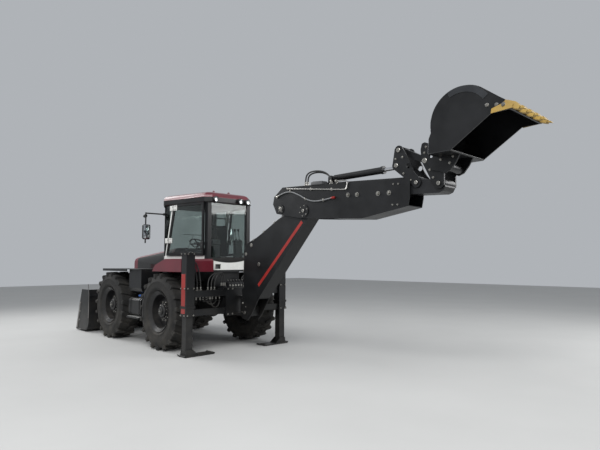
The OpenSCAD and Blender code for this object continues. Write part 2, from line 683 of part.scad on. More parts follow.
module tyre() color(black) {
    tread_r = tyre_r - lug_h;
    half = tyre_w / 2;
    rotate([90, 0, 0]) rotate_extrude($fn = 48) polygon([
        [rim_r, -half + 48], [rim_r + 14, -half + 41], [rim_r + 60, -half + 4], [tread_r - 110, -half], [tread_r - 12, -half + 28],
        [tread_r, 0], [tread_r - 12, half - 28], [tread_r - 110, half], [rim_r + 60, half - 4], [rim_r + 14, half - 41],
        [rim_r, half - 48],
        [rim_r + 20, half - 60], [rim_r + 20, -half + 60]
    ]);
    for (i = [0 : lug_count - 1]) for (side = [-1, 1])
        rotate([0, (i + (side > 0 ? 0.5 : 0)) * 360 / lug_count, 0]) translate([0, side * 6, 0]) lug(side, tread_r, half);
}
// A lug leans back from the tread's middle to the shoulder.
module lug(side, tread_r, half) {
    translate([-42, 0, tread_r - 40]) linear_extrude(lug_h + 37) polygon([
        [-20, 0], [30, 0], [105, side * (half - 40)], [95, side * (half - 8)], [40, side * (half - 8)]
    ]);
}
module tyre_at(x, side) translate([x, side * wheel_y, axle_z]) tyre();
module tyre_front_left() tyre_at(wheelbase, 1);
module tyre_front_right() tyre_at(wheelbase, -1);
module tyre_rear_left() tyre_at(0, 1);
module tyre_rear_right() tyre_at(0, -1);

module rim(side) color(dark) {
    half = tyre_w / 2;
    gap = 0.4;
    rotate([-90, 0, 0]) rotate_extrude($fn = 48) polygon([
        [rim_r - 40, -half + 60], [rim_r + 12, -half + 20], [rim_r + 12, -half + 40], [rim_r - gap, -half + 47],
        [rim_r - gap, half - 47], [rim_r + 12, half - 40], [rim_r + 12, half - 20], [rim_r - 40, half - 60],
        [rim_r - 52, half - 70], [rim_r - 52, -half + 70]
    ]);
    // dished disc with a ring of the planetary drive and its cover
    bore = stub_d / 2 + pin_gap;
    hub = hub_d / 2;
    scale([1, side, 1]) rotate([-90, 0, 0]) rotate_extrude($fn = 48) polygon([
        [bore, 10], [bore, 108], [0, 108], [0, 158], [62, 158], [70, 150], [70, 136], [hub - 42, 132], [hub - 30, 120],
        [hub - 30, 88], [hub, 84], [hub, 60], [hub + 46, 52], [rim_r - 90, 26], [rim_r - 46, 22], [rim_r - 46, 6],
        [rim_r - 94, 8], [hub + 40, 34], [hub - 10, 34], [hub - 30, 10]
    ]);
}
module rim_at(x, side) translate([x, side * wheel_y, axle_z]) rim(side);
module rim_front_left() rim_at(wheelbase, 1);
module rim_front_right() rim_at(wheelbase, -1);
module rim_rear_left() rim_at(0, 1);
module rim_rear_right() rim_at(0, -1);

// loader
module loader_arms() color(black) difference() {
    union() {
        both(arm_y) profile([
            arm_pivot + [-75, -60], arm_pivot + [340, -230], [1900, 1250], [1985, 1075], [2115, 1075], [2200, 1215],
            cross_tube + [-85, 10], cross_tube + [0, -90], cross_tube + [57, -185], cross_tube + [101, -305],
            cross_tube + [123, -425], cross_tube + [123, -545], shovel_pivot + [-110, -40], shovel_pivot + [-60, -72],
            shovel_pivot + [45, -70], shovel_pivot + [76, -20], shovel_pivot + [66, 56], cross_tube + [170, -240],
            cross_tube + [132, -128], cross_tube + [58, 8], cross_tube + [-45, 108], cross_tube + [-180, 168],
            arm_pivot + [340, -50], arm_pivot + [60, 72], arm_pivot + [-70, 72]
        ], arm_t);
        at(cross_tube) rod_y(90, 2 * arm_y, 32);
        for (side = [-1, 1]) {
            at(tilt_foot, side * (tilt_y + arm_y - 28) / 2) pin(arm_y - tilt_y + 28, 38);
            at(tilt_foot + [0, -50], side * arm_y) rod_y(190, arm_t);
            at(shovel_pivot, side * arm_y) rod_y(150, arm_t);
            at(arm_pivot, side * arm_y) rod_y(170, arm_t);
        }
    }
    both(arm_y) at(arm_pivot) pin_bore(arm_t + 4);
    both(arm_y) at(shovel_pivot) pin_bore(arm_t + 4);
}
module loader_bucket() color(black) {
    difference() {
        shovel_body(shovel_w, 0);
        shovel_body(shovel_w - 2 * shovel_t, shovel_t);
        // room for the rams' eyes with the bucket rolled back
        both(tilt_y) box(shovel_pivot_x + 100, shovel_pivot_x + 220, -52, 52, shovel_lift + 860, shovel_lift + 1100);
    }
    // cutting edge and the stiffening tube along the back
    tip = shovel_pivot_x + shovel_l - 60;
    box(tip - 120, tip - 0.1, -shovel_w / 2, shovel_w / 2, shovel_lift - 16, shovel_lift + 0.1);
    at([shovel_pivot_x + 160, shovel_lift + 800]) rod_y(60, shovel_w - 2 * shovel_t, 24);
    lug_out = arm_y + arm_t / 2 + side_gap + 12;
    for (y = [tilt_y - 39, arm_y - arm_t / 2 - side_gap - 12, lug_out]) both(y) shovel_lug();
    both(arm_y) at(shovel_pivot) pin(arm_t + 80);
}
module shovel_lug() profile([
    shovel_pivot + [-62, -40], shovel_pivot + [-30, -72], shovel_pivot + [125, -90], shovel_pivot + [125, 600],
    shovel_pivot + [25, 588], shovel_pivot + [-12, 560], shovel_pivot + [-12, 500], shovel_pivot + [-62, 40]
], 24);
shovel_r = 230;
// Side view of the bucket, t inside its outer face: leaning back sheet, round heel and flat floor.
module shovel_body(w, t) {
    back = shovel_pivot_x + 110;
    low = shovel_lift;
    top = low + shovel_h - 5;
    tip = shovel_pivot_x + shovel_l - 60;
    heel = [back + shovel_r, low + shovel_r];
    profile([
        heel, [back + t, heel.y], [back + t, top - 250], [back + 62 + t, top + t], [tip - 290 + 5 * t, top + t],
        [tip - 190 + 5 * t, top - 300], [tip + 3 * t, low + shovel_t], [tip + 3 * t, low + t], [heel.x, low + t]
    ], w);
    intersection() {
        at(heel) rod_y(2 * (shovel_r - t), w, 64);
        box(back - 1, heel.x, -w, w, low - 1, heel.y);
    }
}
module lift_barrels() color(black) both(lift_y) ram_place(lift_foot, lift_eye)
    ram_barrel(span(lift_foot, lift_eye) - 60, 66, 42, 60, 80);
module lift_rods() color(steel) for (side = [-1, 1]) scale([1, side, 1]) ram_place(lift_foot, lift_eye, lift_y)
    ram_rod(120, span(lift_foot, lift_eye), 42, 60, 80, 34, arm_y - arm_t / 2 - lift_y - eye_gap);
module tilt_barrels() color(black) both(tilt_y) ram_place(tilt_foot, tilt_eye)
    ram_barrel(1080, 60, 38, 44, 76);
module tilt_rods() color(steel) for (side = [-1, 1]) scale([1, side, 1]) ram_place(tilt_foot, tilt_eye, tilt_y)
    ram_rod(300, span(tilt_foot, tilt_eye), 38, 44, 76, 26.5, 26.5);

// stabilisers
module leg(side) color(black) translate([-leg_x, side * leg_y, 0]) scale([1, side, 1]) {
    in = leg_inner / 2;
    translate([-in, -in, 60]) cube([leg_inner, leg_inner, leg_low + 465]);
    // foot: turned-up plate, ribs beside the tube and a pin through them
    yz_plate([[-foot_l + 90, 0], [90, 0], [120, 22], [112, 34], [86, 18], [-foot_l + 94, 18], [-foot_l + 68, 34], [-foot_l + 60, 22]], -foot_w / 2, foot_w / 2);
    for (x = [-in - 24, in + 8]) yz_plate([[-190, 17], [80, 17], [62, 120], [-62, 120]], x, x + 16);
    for (x = [-in - 12, in]) translate([x, 0, 80]) rotate([0, 90, 0]) cylinder(d = 54, h = 12, $fn = 24);
    translate([0, 0, 10]) linear_extrude(60) square([leg_inner + 16, leg_inner + 16], center = true);
}
module leg_left() leg(1);
module leg_right() leg(-1);

// rear arm
module carriage() color(black) {
    face = -leg_x - beam_t - slide_gap;
    difference() {
        union() {
            box(face - 25, face, -300, 300, beam_low - 40, beam_high + beam_h + 40);
            for (z = [beam_low - 40, beam_high + beam_h + slide_gap]) box(face - 20, -leg_x + 20, -300, 300, z, z + 40 - slide_gap);
            for (z = swing_lug_z) {
                box(swing.x, face - 20, -75, 75, z, z + 50);
                translate([swing.x, 0, z]) cylinder(d = 150, h = 50, $fn = 32);
            }
        }
        translate([swing.x, 0, 500]) cylinder(d = swing_d + 2 * pin_gap, h = 700, $fn = 32);
    }
}
module kingpost() color(black) difference() {
    low = swing_lug_z[0] + 50 + side_gap;
    high = swing_lug_z[1] - side_gap;
    union() {
        translate([swing.x, 0, low - 70]) cylinder(d = swing_d, h = high - low + 140, $fn = 32);
        translate([swing.x, 0, low]) cylinder(d = 150, h = high - low, $fn = 32);
        box(swing.x - 100, swing.x, -70, 70, low, high);
        profile([[boom_foot.x - 95, low - 40], [swing.x - 85, low], [swing.x - 85, high], [boom_foot.x - 95, 830]], 2 * post_half);
        both((ear_in + post_half) / 2) profile([
            [boom_foot.x - 95, 820], [swing.x - 90, 820], [swing.x - 90, high], boom_ram_foot + [60, 30],
            boom_ram_foot + [30, 62], boom_ram_foot + [-30, 62], boom_ram_foot + [-65, 20]
        ], post_half - ear_in);
        at(boom_ram_foot) pin(2 * post_half - 10, 55);
    }
    at(boom_foot) pin_bore(800);
}
boom_outline = [
    [-60, 130], [150, 200], [380, 420], [800, 790], [940, 800], [1200, 650], [1880, 400], [2330, 120],
    [2440, 60], [2440, -60], [2330, -120], [470, -100], [90, -150], [-60, -140], [-150, 0]
];
// Open along the front for the boom's ram, and along the top near the nose for the dipper's.
boom_cavity = [
    [-300, -300], [120, -300], [470, -88], [2200, -106], [2200, 900], [1500, 900], [1500, 520], [1300, 590],
    [1300, 900], [-300, 900]
];
module boom() color(black) boom_frame() {
    difference() {
        union() {
            difference() {
                uv_plate(boom_outline, 2 * boom_half);
                uv_plate(boom_cavity, 2 * (boom_half - boom_plate));
            }
            both(boom_half - boom_plate / 2) rod_y(200, boom_plate);
            at_uv([boom_l, 0]) rod_y(180, 2 * boom_half);
        }
        at_uv([boom_l, 0]) pin_bore(600);
    }
    pin(2 * boom_half + 30);
    at_uv(dipper_ram_uv) pin(2 * boom_half, 55);
}
dipper_outline = [
    [-660, -45], [-766, 120], [-743, 245], [-540, 400], [90, 408], [1985, 398], [slide_reach, 175], [1969, 38],
    [1200, -125], [720, -125], [140, -120], [-140, -110]
];
dipper_cavity = [
    [-900, -300], [640, -300], [640, -113], [720, -113], [1200, -113], [1965, 48], [2100, 48], [2100, 500],
    [1850, 500], [1850, 386], [90, 396], [-535, 388], [-730, 240], [-900, 200]
];
dipper_strip_v = slide_axis_v - slide_h / 2 - slide_gap - 10;
module dipper() color(black) dipper_frame() {
    difference() {
        union() {
            uv_plate(dipper_outline, 2 * dipper_half);
            both(dipper_half) rod_y(210, 24, 48);
            both(dipper_half) at_uv(tail_uv) rod_y(150, 20, 32);
            both(dipper_half - dipper_plate / 2) for (u = [920, 1091, 1468, 1655]) at_uv([u, 222]) rod_y(44, dipper_plate + 16, 24);
        }
        uv_plate(dipper_cavity, 2 * (dipper_half - dipper_plate));
    }
    pin(2 * dipper_half + 40);
    // bearing strips that the extension runs on
    for (v = [dipper_strip_v, slide_axis_v + slide_h / 2 + slide_gap])
        box(-slide_reach + 150, -slide_reach + 300, -dipper_half + dipper_plate / 2, dipper_half - dipper_plate / 2, v, v + 10);
}
module dipper_slide() color(dark) dipper_frame() {
    low = slide_axis_v - slide_h / 2;
    high = slide_axis_v + slide_h / 2;
    difference() {
        union() {
            uv_plate([
                [700, low], [2395, low], [2450, low + 22], [2478, low + 75], [2470, high - 40], [2420, high], [700, high]
            ], 2 * slide_half);
            box(-2040, -400, -60, 60, 414, 440);
            box(-2040, -1996, -60, 60, high - 20, 440);
            both(50) at_uv(bucket_ram_uv) {
                rod_y(80, 16);
                translate([-40, -8, -90]) cube([80, 16, 90]);
            }
            at_uv(lever_uv) rod_y(150, 2 * slide_half, 48);
            at_uv(scoop_uv) rod_y(150, 2 * slide_half, 48);
        }
        at_uv(lever_uv) pin_bore(600);
        at_uv(scoop_uv) pin_bore(600);
    }
    at_uv(bucket_ram_uv) pin(110, 45);
}
// Two plates with a hollowed rear edge between the pins.
module bucket_lever() color(black) dipper_frame() {
    both(slide_half + side_gap + 10) difference() {
        union() {
            uv_plate([
                lever_uv + [62, 10], lever_uv + [-10, -62], lever_ram_uv + [-45, -44], lever_ram_uv + [-62, 0],
                lever_link_uv + [-64, 20], lever_link_uv + [-10, 62], lever_link_uv + [72, 10]
            ], 20);
            at_uv(lever_uv) rod_y(132, 20);
            at_uv(lever_ram_uv) rod_y(128, 20);
            at_uv(lever_link_uv) rod_y(128, 20);
        }
        at_uv(lever_uv + [240, 352]) rod_y(700, 24, 96);
        at_uv(lever_uv + [-130, 230]) rod_y(70, 24);
    }
    at_uv(lever_uv) pin(2 * slide_half + 70);
    at_uv(lever_link_uv) pin(2 * slide_half + 70);
}
module bucket_link() color(black) dipper_frame() {
    difference() {
        union() {
            uv_plate([lever_link_uv + [0, 45], lever_link_uv + [0, -45], hitch_uv + [0, -45], hitch_uv + [0, 45]], 120);
            at_uv(lever_link_uv) rod_y(110, 120);
            at_uv(hitch_uv) rod_y(110, 120);
        }
        at_uv(lever_link_uv) pin_bore(300);
    }
    at_uv(hitch_uv) pin(2 * (slide_half + side_gap - eye_gap));
}

// The bucket with its quick hitch: side plates round at the back, open from the hitch to the lip.
scoop_mid = [2830, 1000];
lip_turn = 32.5;
lip_l = 352;
// Along the bottom plate from the end of its round part, and out from its outer face.
function lip(along, out) = scoop_mid + [
    (scoop_r + out) * sin(lip_turn) + along * cos(lip_turn),
    (scoop_r + out) * cos(lip_turn) - along * sin(lip_turn)
];
// Where the round back starts above the hitch.
function heel(t) = scoop_mid + (scoop_r - t) * [cos(194), sin(194)];
module digging_bucket() color(black) dipper_frame() {
    both(slide_half + side_gap + 12) difference() {
        uv_plate([
            scoop_uv + [72, -20], scoop_uv + [30, -66], scoop_uv + [-40, -62], scoop_uv + [-100, 20], hitch_uv + [-48, 0],
            hitch_uv + [-66, 150], hitch_uv + [-50, 226], hitch_uv + [-10, 240], hitch_uv + [60, 216], [2470, 700], [2470, 500]
        ], 24);
        at_uv(hitch_uv + [110, 40]) rod_y(90, 30);
    }
    both((slide_half + side_gap) / 2) at_uv(hitch_uv + [20, 180]) rod_y(70, slide_half + side_gap);
    at_uv(scoop_uv) pin(2 * slide_half + 90);
    // ears and pin tube between hitch and bucket
    both(slide_half + side_gap + 36) uv_plate([
        hitch_uv + [40, -20], hitch_uv + [130, -140], [2420, 470], [2500, 440], [2570, 470], [2640, 560], [2694, 672], [2400, 700]
    ], 24);
    at_uv([2510, 520]) rod_y(120, 2 * (slide_half + side_gap + 48), 32);
    difference() {
        scoop_solid(scoop_w, 0);
        scoop_solid(scoop_w - 2 * scoop_t, scoop_t);
    }
    // wear plate round the heel
    intersection() {
        at_uv(scoop_mid) ring_y(2 * scoop_r + 20, 2 * scoop_r - 4, scoop_w - 60);
        uv_plate([scoop_mid, scoop_mid + [900, 1400], scoop_mid + [-300, 1400], scoop_mid + [-900, 500]], scoop_w);
    }
}
module scoop_solid(w, t) {
    uv_plate([
        scoop_mid, lip(0, -t), lip(lip_l + 6 * t, -t), lip(lip_l + 6 * t, -56 - t), lip(470 + 6 * t, -56 - t),
        [3184 + 4 * t, 1028 - 6 * t],
        [2694 + t, 660 - 6 * t], [2694 + t, 660 + t], [2400 + t, 640 + t], [2405 + t, 827], heel(t)
    ], w);
    intersection() {
        at_uv(scoop_mid) rod_y(2 * (scoop_r - t), w, 96);
        uv_plate([
            scoop_mid, scoop_mid + 1000 * [sin(lip_turn), cos(lip_turn)], scoop_mid + [-500, 1000],
            scoop_mid + [-1000, 0], scoop_mid + 3 * (heel(0) - scoop_mid)
        ], w + 2);
    }
}
// Cutting edge, side cutters and teeth.
module bucket_teeth() color(yellow) dipper_frame() {
    uv_plate([lip(lip_l + 0.05, 0), lip(lip_l + 0.05, -26), lip(470, -26), lip(470, -10), lip(450, 0)], scoop_w);
    both(scoop_w / 2 + 6.05) uv_plate([
        [3190, 1024], [3196, 1074], lip(340, -60), lip(352, -30), lip(466, -8), lip(470, -36), [3440, 1052]
    ], 12);
    for (i = [0 : tooth_count - 1]) translate([0, (i - (tooth_count - 1) / 2) * (scoop_w - 80) / (tooth_count - 1), 0]) {
        uv_plate([lip(370, 4), lip(470, 26), lip(540, 6), lip(540, -30), lip(470, -52), lip(370, -34)], 84);
        uv_plate([lip(520, 2), scoop_tip + [0, 6], scoop_tip + [4, -6], lip(520, -26)], 60);
    }
}

module boom_barrel() color(black) ram_place(boom_ram_foot, on_boom(boom_ram_uv))
    ram_barrel(722, 120, 65, 110, 110);
module boom_rod() color(steel) ram_place(boom_ram_foot, on_boom(boom_ram_uv))
    ram_rod(240, span(boom_ram_foot, on_boom(boom_ram_uv)), 65, 100, 110, boom_half - boom_plate - eye_gap, boom_half - boom_plate - eye_gap);
module dipper_barrel() color(black) ram_place(on_boom(dipper_ram_uv), on_dipper(tail_uv))
    ram_barrel(1010, 120, 65, 110, 110);
module dipper_rod() color(steel) ram_place(on_boom(dipper_ram_uv), on_dipper(tail_uv))
    ram_rod(160, span(on_boom(dipper_ram_uv), on_dipper(tail_uv)), 65, 100, 110, dipper_half - dipper_plate - eye_gap, dipper_half - dipper_plate - eye_gap);
module bucket_barrel() color(black) ram_place(on_dipper(bucket_ram_uv), on_dipper(lever_ram_uv))
    ram_barrel(1000, 100, 55, 80, 90);
module bucket_rod() color(steel) ram_place(on_dipper(bucket_ram_uv), on_dipper(lever_ram_uv))
    ram_rod(200, span(on_dipper(bucket_ram_uv), on_dipper(lever_ram_uv)), 55, 80, 90, slide_half + side_gap - eye_gap, slide_half + side_gap - eye_gap);

placed() chassis_frame();
placed() nose_beam();
placed() loader_tower();
placed() cab_stand();
placed() axle_housings();
placed() engine_block();
placed() rear_frame();
placed() valve_block();
placed() cab_frame();
placed() cab_panels();
placed() cab_roof();
placed() cab_glass();
placed() rear_fenders();
placed() front_fenders();
placed() seat();
placed() cab_fittings();
placed() side_tanks();
placed() lamps();
placed() mirrors();
placed() hood();
placed() grille();
placed() door_left();
placed() door_right();
placed() door_glass_left();
placed() door_glass_right();
placed() knuckle_front_left();
placed() knuckle_front_right();
placed() knuckle_rear_left();
placed() knuckle_rear_right();
placed() tyre_front_left();
placed() tyre_front_right();
placed() tyre_rear_left();
placed() tyre_rear_right();
placed() rim_front_left();
placed() rim_front_right();
placed() rim_rear_left();
placed() rim_rear_right();
placed() loader_arms();
placed() loader_bucket();
placed() lift_barrels();
placed() lift_rods();
placed() tilt_barrels();
placed() tilt_rods();
placed() leg_left();
placed() leg_right();
placed() carriage();
placed() kingpost();
placed() boom();
placed() dipper();
placed() dipper_slide();
placed() bucket_lever();
placed() bucket_link();
placed() digging_bucket();
placed() bucket_teeth();
placed() boom_barrel();
placed() boom_rod();
placed() dipper_barrel();
placed() dipper_rod();
placed() bucket_barrel();
placed() bucket_rod();
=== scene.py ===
import json
import math
import bpy
import bmesh
from mathutils import Matrix, Vector


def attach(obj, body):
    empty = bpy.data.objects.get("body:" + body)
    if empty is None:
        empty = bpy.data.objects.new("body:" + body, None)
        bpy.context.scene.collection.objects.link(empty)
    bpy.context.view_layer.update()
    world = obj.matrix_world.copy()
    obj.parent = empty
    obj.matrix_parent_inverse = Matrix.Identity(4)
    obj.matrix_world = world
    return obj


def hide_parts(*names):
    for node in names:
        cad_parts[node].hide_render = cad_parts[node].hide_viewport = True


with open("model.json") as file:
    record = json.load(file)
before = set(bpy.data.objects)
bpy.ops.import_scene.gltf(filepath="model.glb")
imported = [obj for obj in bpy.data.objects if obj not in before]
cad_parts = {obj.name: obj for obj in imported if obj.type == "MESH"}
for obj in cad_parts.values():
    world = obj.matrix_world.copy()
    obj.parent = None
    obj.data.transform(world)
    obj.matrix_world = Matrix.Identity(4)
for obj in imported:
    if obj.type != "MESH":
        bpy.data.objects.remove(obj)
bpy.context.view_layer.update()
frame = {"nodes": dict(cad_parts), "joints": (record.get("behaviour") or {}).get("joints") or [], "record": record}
nodes = frame["nodes"]
joints = {joint["name"]: joint for joint in frame["joints"]}


# Places on the machine, in metres from the middle of the rear axle on the ground.
def jointPoint(name):
    return Vector(joints[name]["pos_m"])


shift = Vector((jointPoint("wheel_rear_left").x, 0, 0))


def machine(x, y, z):
    return shift + Vector((x, y, z))


# A link's own frame: x runs against the way it points, z is up across it.
def linkFrame(origin, pointsTo):
    along = -(pointsTo.normalized())
    side = Vector((0, 1, 0))
    up = along.cross(side)
    turned = Matrix((along, side, up)).transposed().to_4x4()
    turned.translation = origin
    return turned


boomFoot = Vector((jointPoint("boom").x, 0, jointPoint("boom").z))
knuckle = Vector((jointPoint("dipper").x, 0, jointPoint("dipper").z))
boomFrame = linkFrame(boomFoot, knuckle - boomFoot)
dipperFrame = linkFrame(knuckle, Vector(joints["dipper_extend"]["axis"]))


# Small helpers for the shader nodes.
def mathNode(tree, operation, first, second=None, clamp=False):
    node = tree.nodes.new("ShaderNodeMath")
    node.operation = operation
    node.use_clamp = clamp
    for slot, value in zip(node.inputs, (first, second)):
        if value is None:
            continue
        if isinstance(value, (int, float)):
            slot.default_value = value
        else:
            tree.links.new(value, slot)
    return node.outputs[0]


def mixColor(tree, factor, first, second):
    node = tree.nodes.new("ShaderNodeMix")
    node.data_type = "RGBA"
    for index, value in ((0, factor), (6, first), (7, second)):
        if hasattr(value, "is_output"):
            tree.links.new(value, node.inputs[index])
        else:
            node.inputs[index].default_value = value
    return node.outputs[2]


def rampNode(tree, factor, low, high, toLow=0.0, toHigh=1.0):
    node = tree.nodes.new("ShaderNodeMapRange")
    for name, value in (("From Min", low), ("From Max", high), ("To Min", toLow), ("To Max", toHigh)):
        node.inputs[name].default_value = value
    tree.links.new(factor, node.inputs["Value"])
    return node.outputs["Result"]


def noiseNode(tree, vector, scale, detail=3.0, roughness=0.55):
    node = tree.nodes.new("ShaderNodeTexNoise")
    node.inputs["Scale"].default_value = scale
    node.inputs["Detail"].default_value = detail
    node.inputs["Roughness"].default_value = roughness
    tree.links.new(vector, node.inputs["Vector"])
    return node.outputs["Fac"]


# An empty node group with its inputs and their first values, its outputs, and the piece's own coordinates.
def newGroup(name, inputs, outputs):
    group = bpy.data.node_groups.new(name, "ShaderNodeTree")
    for label, value in inputs.items():
        made = group.interface.new_socket(name=label, in_out="INPUT", socket_type="NodeSocketFloat")
        made.default_value = value
    for label, kind in outputs.items():
        group.interface.new_socket(name=label, in_out="OUTPUT", socket_type=kind)
    start = group.nodes.new("NodeGroupInput").outputs
    end = group.nodes.new("NodeGroupOutput").inputs
    place = group.nodes.new("ShaderNodeTexCoord").outputs["Object"]
    return group, start, end, place


# Worn edges: bare where two faces meet, broken up by a noise.
def makeEdgeGroup():
    group, start, end, place = newGroup(
        "wornEdges", {"Width": 0.004, "Amount": 0.5}, {"Mask": "NodeSocketFloat"})
    bevel = group.nodes.new("ShaderNodeBevel")
    bevel.samples = 4
    group.links.new(start["Width"], bevel.inputs["Radius"])
    geometry = group.nodes.new("ShaderNodeNewGeometry")
    dot = group.nodes.new("ShaderNodeVectorMath")
    dot.operation = "DOT_PRODUCT"
    group.links.new(bevel.outputs["Normal"], dot.inputs[0])
    group.links.new(geometry.outputs["Normal"], dot.inputs[1])
    edge = rampNode(group, dot.outputs["Value"], 0.985, 0.86)
    patches = rampNode(group, noiseNode(group, place, 9.0, 6.0, 0.7), 0.5, 0.64)
    worn = mathNode(group, "MULTIPLY", edge, patches, clamp=True)
    group.links.new(mathNode(group, "MULTIPLY", worn, start["Amount"]), end["Mask"])
    return group


# Dust: lies on what faces up and thickens towards the ground.
def makeDustGroup():
    group, start, end, place = newGroup(
        "settledDust", {"Height": 1.2, "Amount": 0.4}, {"Mask": "NodeSocketFloat"})
    split = group.nodes.new("ShaderNodeSeparateXYZ")
    group.links.new(place, split.inputs[0])
    low = mathNode(group, "DIVIDE", split.outputs["Z"], start["Height"])
    low = mathNode(group, "SUBTRACT", 1.0, low, clamp=True)
    slope = group.nodes.new("ShaderNodeSeparateXYZ")
    geometry = group.nodes.new("ShaderNodeNewGeometry")
    group.links.new(geometry.outputs["Normal"], slope.inputs[0])
    up = rampNode(group, slope.outputs["Z"], 0.1, 1.0, 0.0, 0.45)
    both = mathNode(group, "ADD", low, up)
    cloud = rampNode(group, noiseNode(group, place, 4.0, 7.0, 0.65), 0.36, 0.66)
    mask = mathNode(group, "MULTIPLY", both, cloud)
    mask = mathNode(group, "MULTIPLY", mask, start["Amount"], clamp=True)
    group.links.new(mask, end["Mask"])
    return group


# Surface grain: a colour shade, a roughness change and a bumped normal.
def makeGrainGroup():
    group, start, end, place = newGroup(
        "surfaceGrain", {"Scale": 300.0, "Depth": 0.0004},
        {"Shade": "NodeSocketFloat", "Rough": "NodeSocketFloat", "Normal": "NodeSocketVector"})
    fine = group.nodes.new("ShaderNodeTexNoise")
    fine.inputs["Detail"].default_value = 4.0
    group.links.new(place, fine.inputs["Vector"])
    group.links.new(start["Scale"], fine.inputs["Scale"])
    bump = group.nodes.new("ShaderNodeBump")
    bump.inputs["Strength"].default_value = 0.6
    group.links.new(start["Depth"], bump.inputs["Distance"])
    group.links.new(fine.outputs["Fac"], bump.inputs["Height"])
    broad = noiseNode(group, place, 3.2, 5.0, 0.6)
    group.links.new(rampNode(group, broad, 0.3, 0.7), end["Shade"])
    mixed = mathNode(group, "ADD", mathNode(group, "MULTIPLY", broad, 0.7),
                     mathNode(group, "MULTIPLY", fine.outputs["Fac"], 0.3))
    group.links.new(rampNode(group, mixed, 0.3, 0.7), end["Rough"])
    group.links.new(bump.outputs["Normal"], end["Normal"])
    return group


edgeGroup = makeEdgeGroup()
dustGroup = makeDustGroup()
grainGroup = makeGrainGroup()
dustColor = (0.2, 0.18, 0.15, 1)
dustRoughness = 0.6   # what a full coat of dust adds


def placeGroup(tree, group, **values):
    node = tree.nodes.new("ShaderNodeGroup")
    node.node_tree = group
    for name, value in values.items():
        node.inputs[name].default_value = value
    return node


def newMaterial(name):
    material = bpy.data.materials.new(name)
    material.use_nodes = True
    tree = material.node_tree
    return material, tree, tree.nodes["Principled BSDF"]


# One recipe for paint, plastic, iron and rubber; each finish has its own numbers.
def makeFinish(name, color, darker, rough, metallic=0.0, coat=0.0, coatRough=0.1, grain=300.0, depth=0.0004,
               edgeColor=None, edgeWidth=0.004, edgeAmount=0.5, dust=0.3, dustHeight=1.2, specular=0.5):
    material, tree, shader = newMaterial(name)
    surface = placeGroup(tree, grainGroup, Scale=grain, Depth=depth)
    base = mixColor(tree, surface.outputs["Shade"], (*darker, 1), (*color, 1))
    roughness = rampNode(tree, surface.outputs["Rough"], 0.0, 1.0, *rough)
    if edgeColor:
        edge = placeGroup(tree, edgeGroup, Width=edgeWidth, Amount=edgeAmount)
        base = mixColor(tree, edge.outputs["Mask"], base, (*edgeColor, 1))
    settled = placeGroup(tree, dustGroup, Height=dustHeight, Amount=dust).outputs["Mask"]
    base = mixColor(tree, settled, base, dustColor)
    raised = mathNode(tree, "MULTIPLY", settled, dustRoughness)
    roughness = mathNode(tree, "ADD", roughness, raised, clamp=True)
    tree.links.new(base, shader.inputs["Base Color"])
    tree.links.new(roughness, shader.inputs["Roughness"])
    tree.links.new(surface.outputs["Normal"], shader.inputs["Normal"])
    for label, value in (("Metallic", metallic), ("Coat Weight", coat), ("Coat Roughness", coatRough),
                         ("Specular IOR Level", specular)):
        shader.inputs[label].default_value = value
    return material


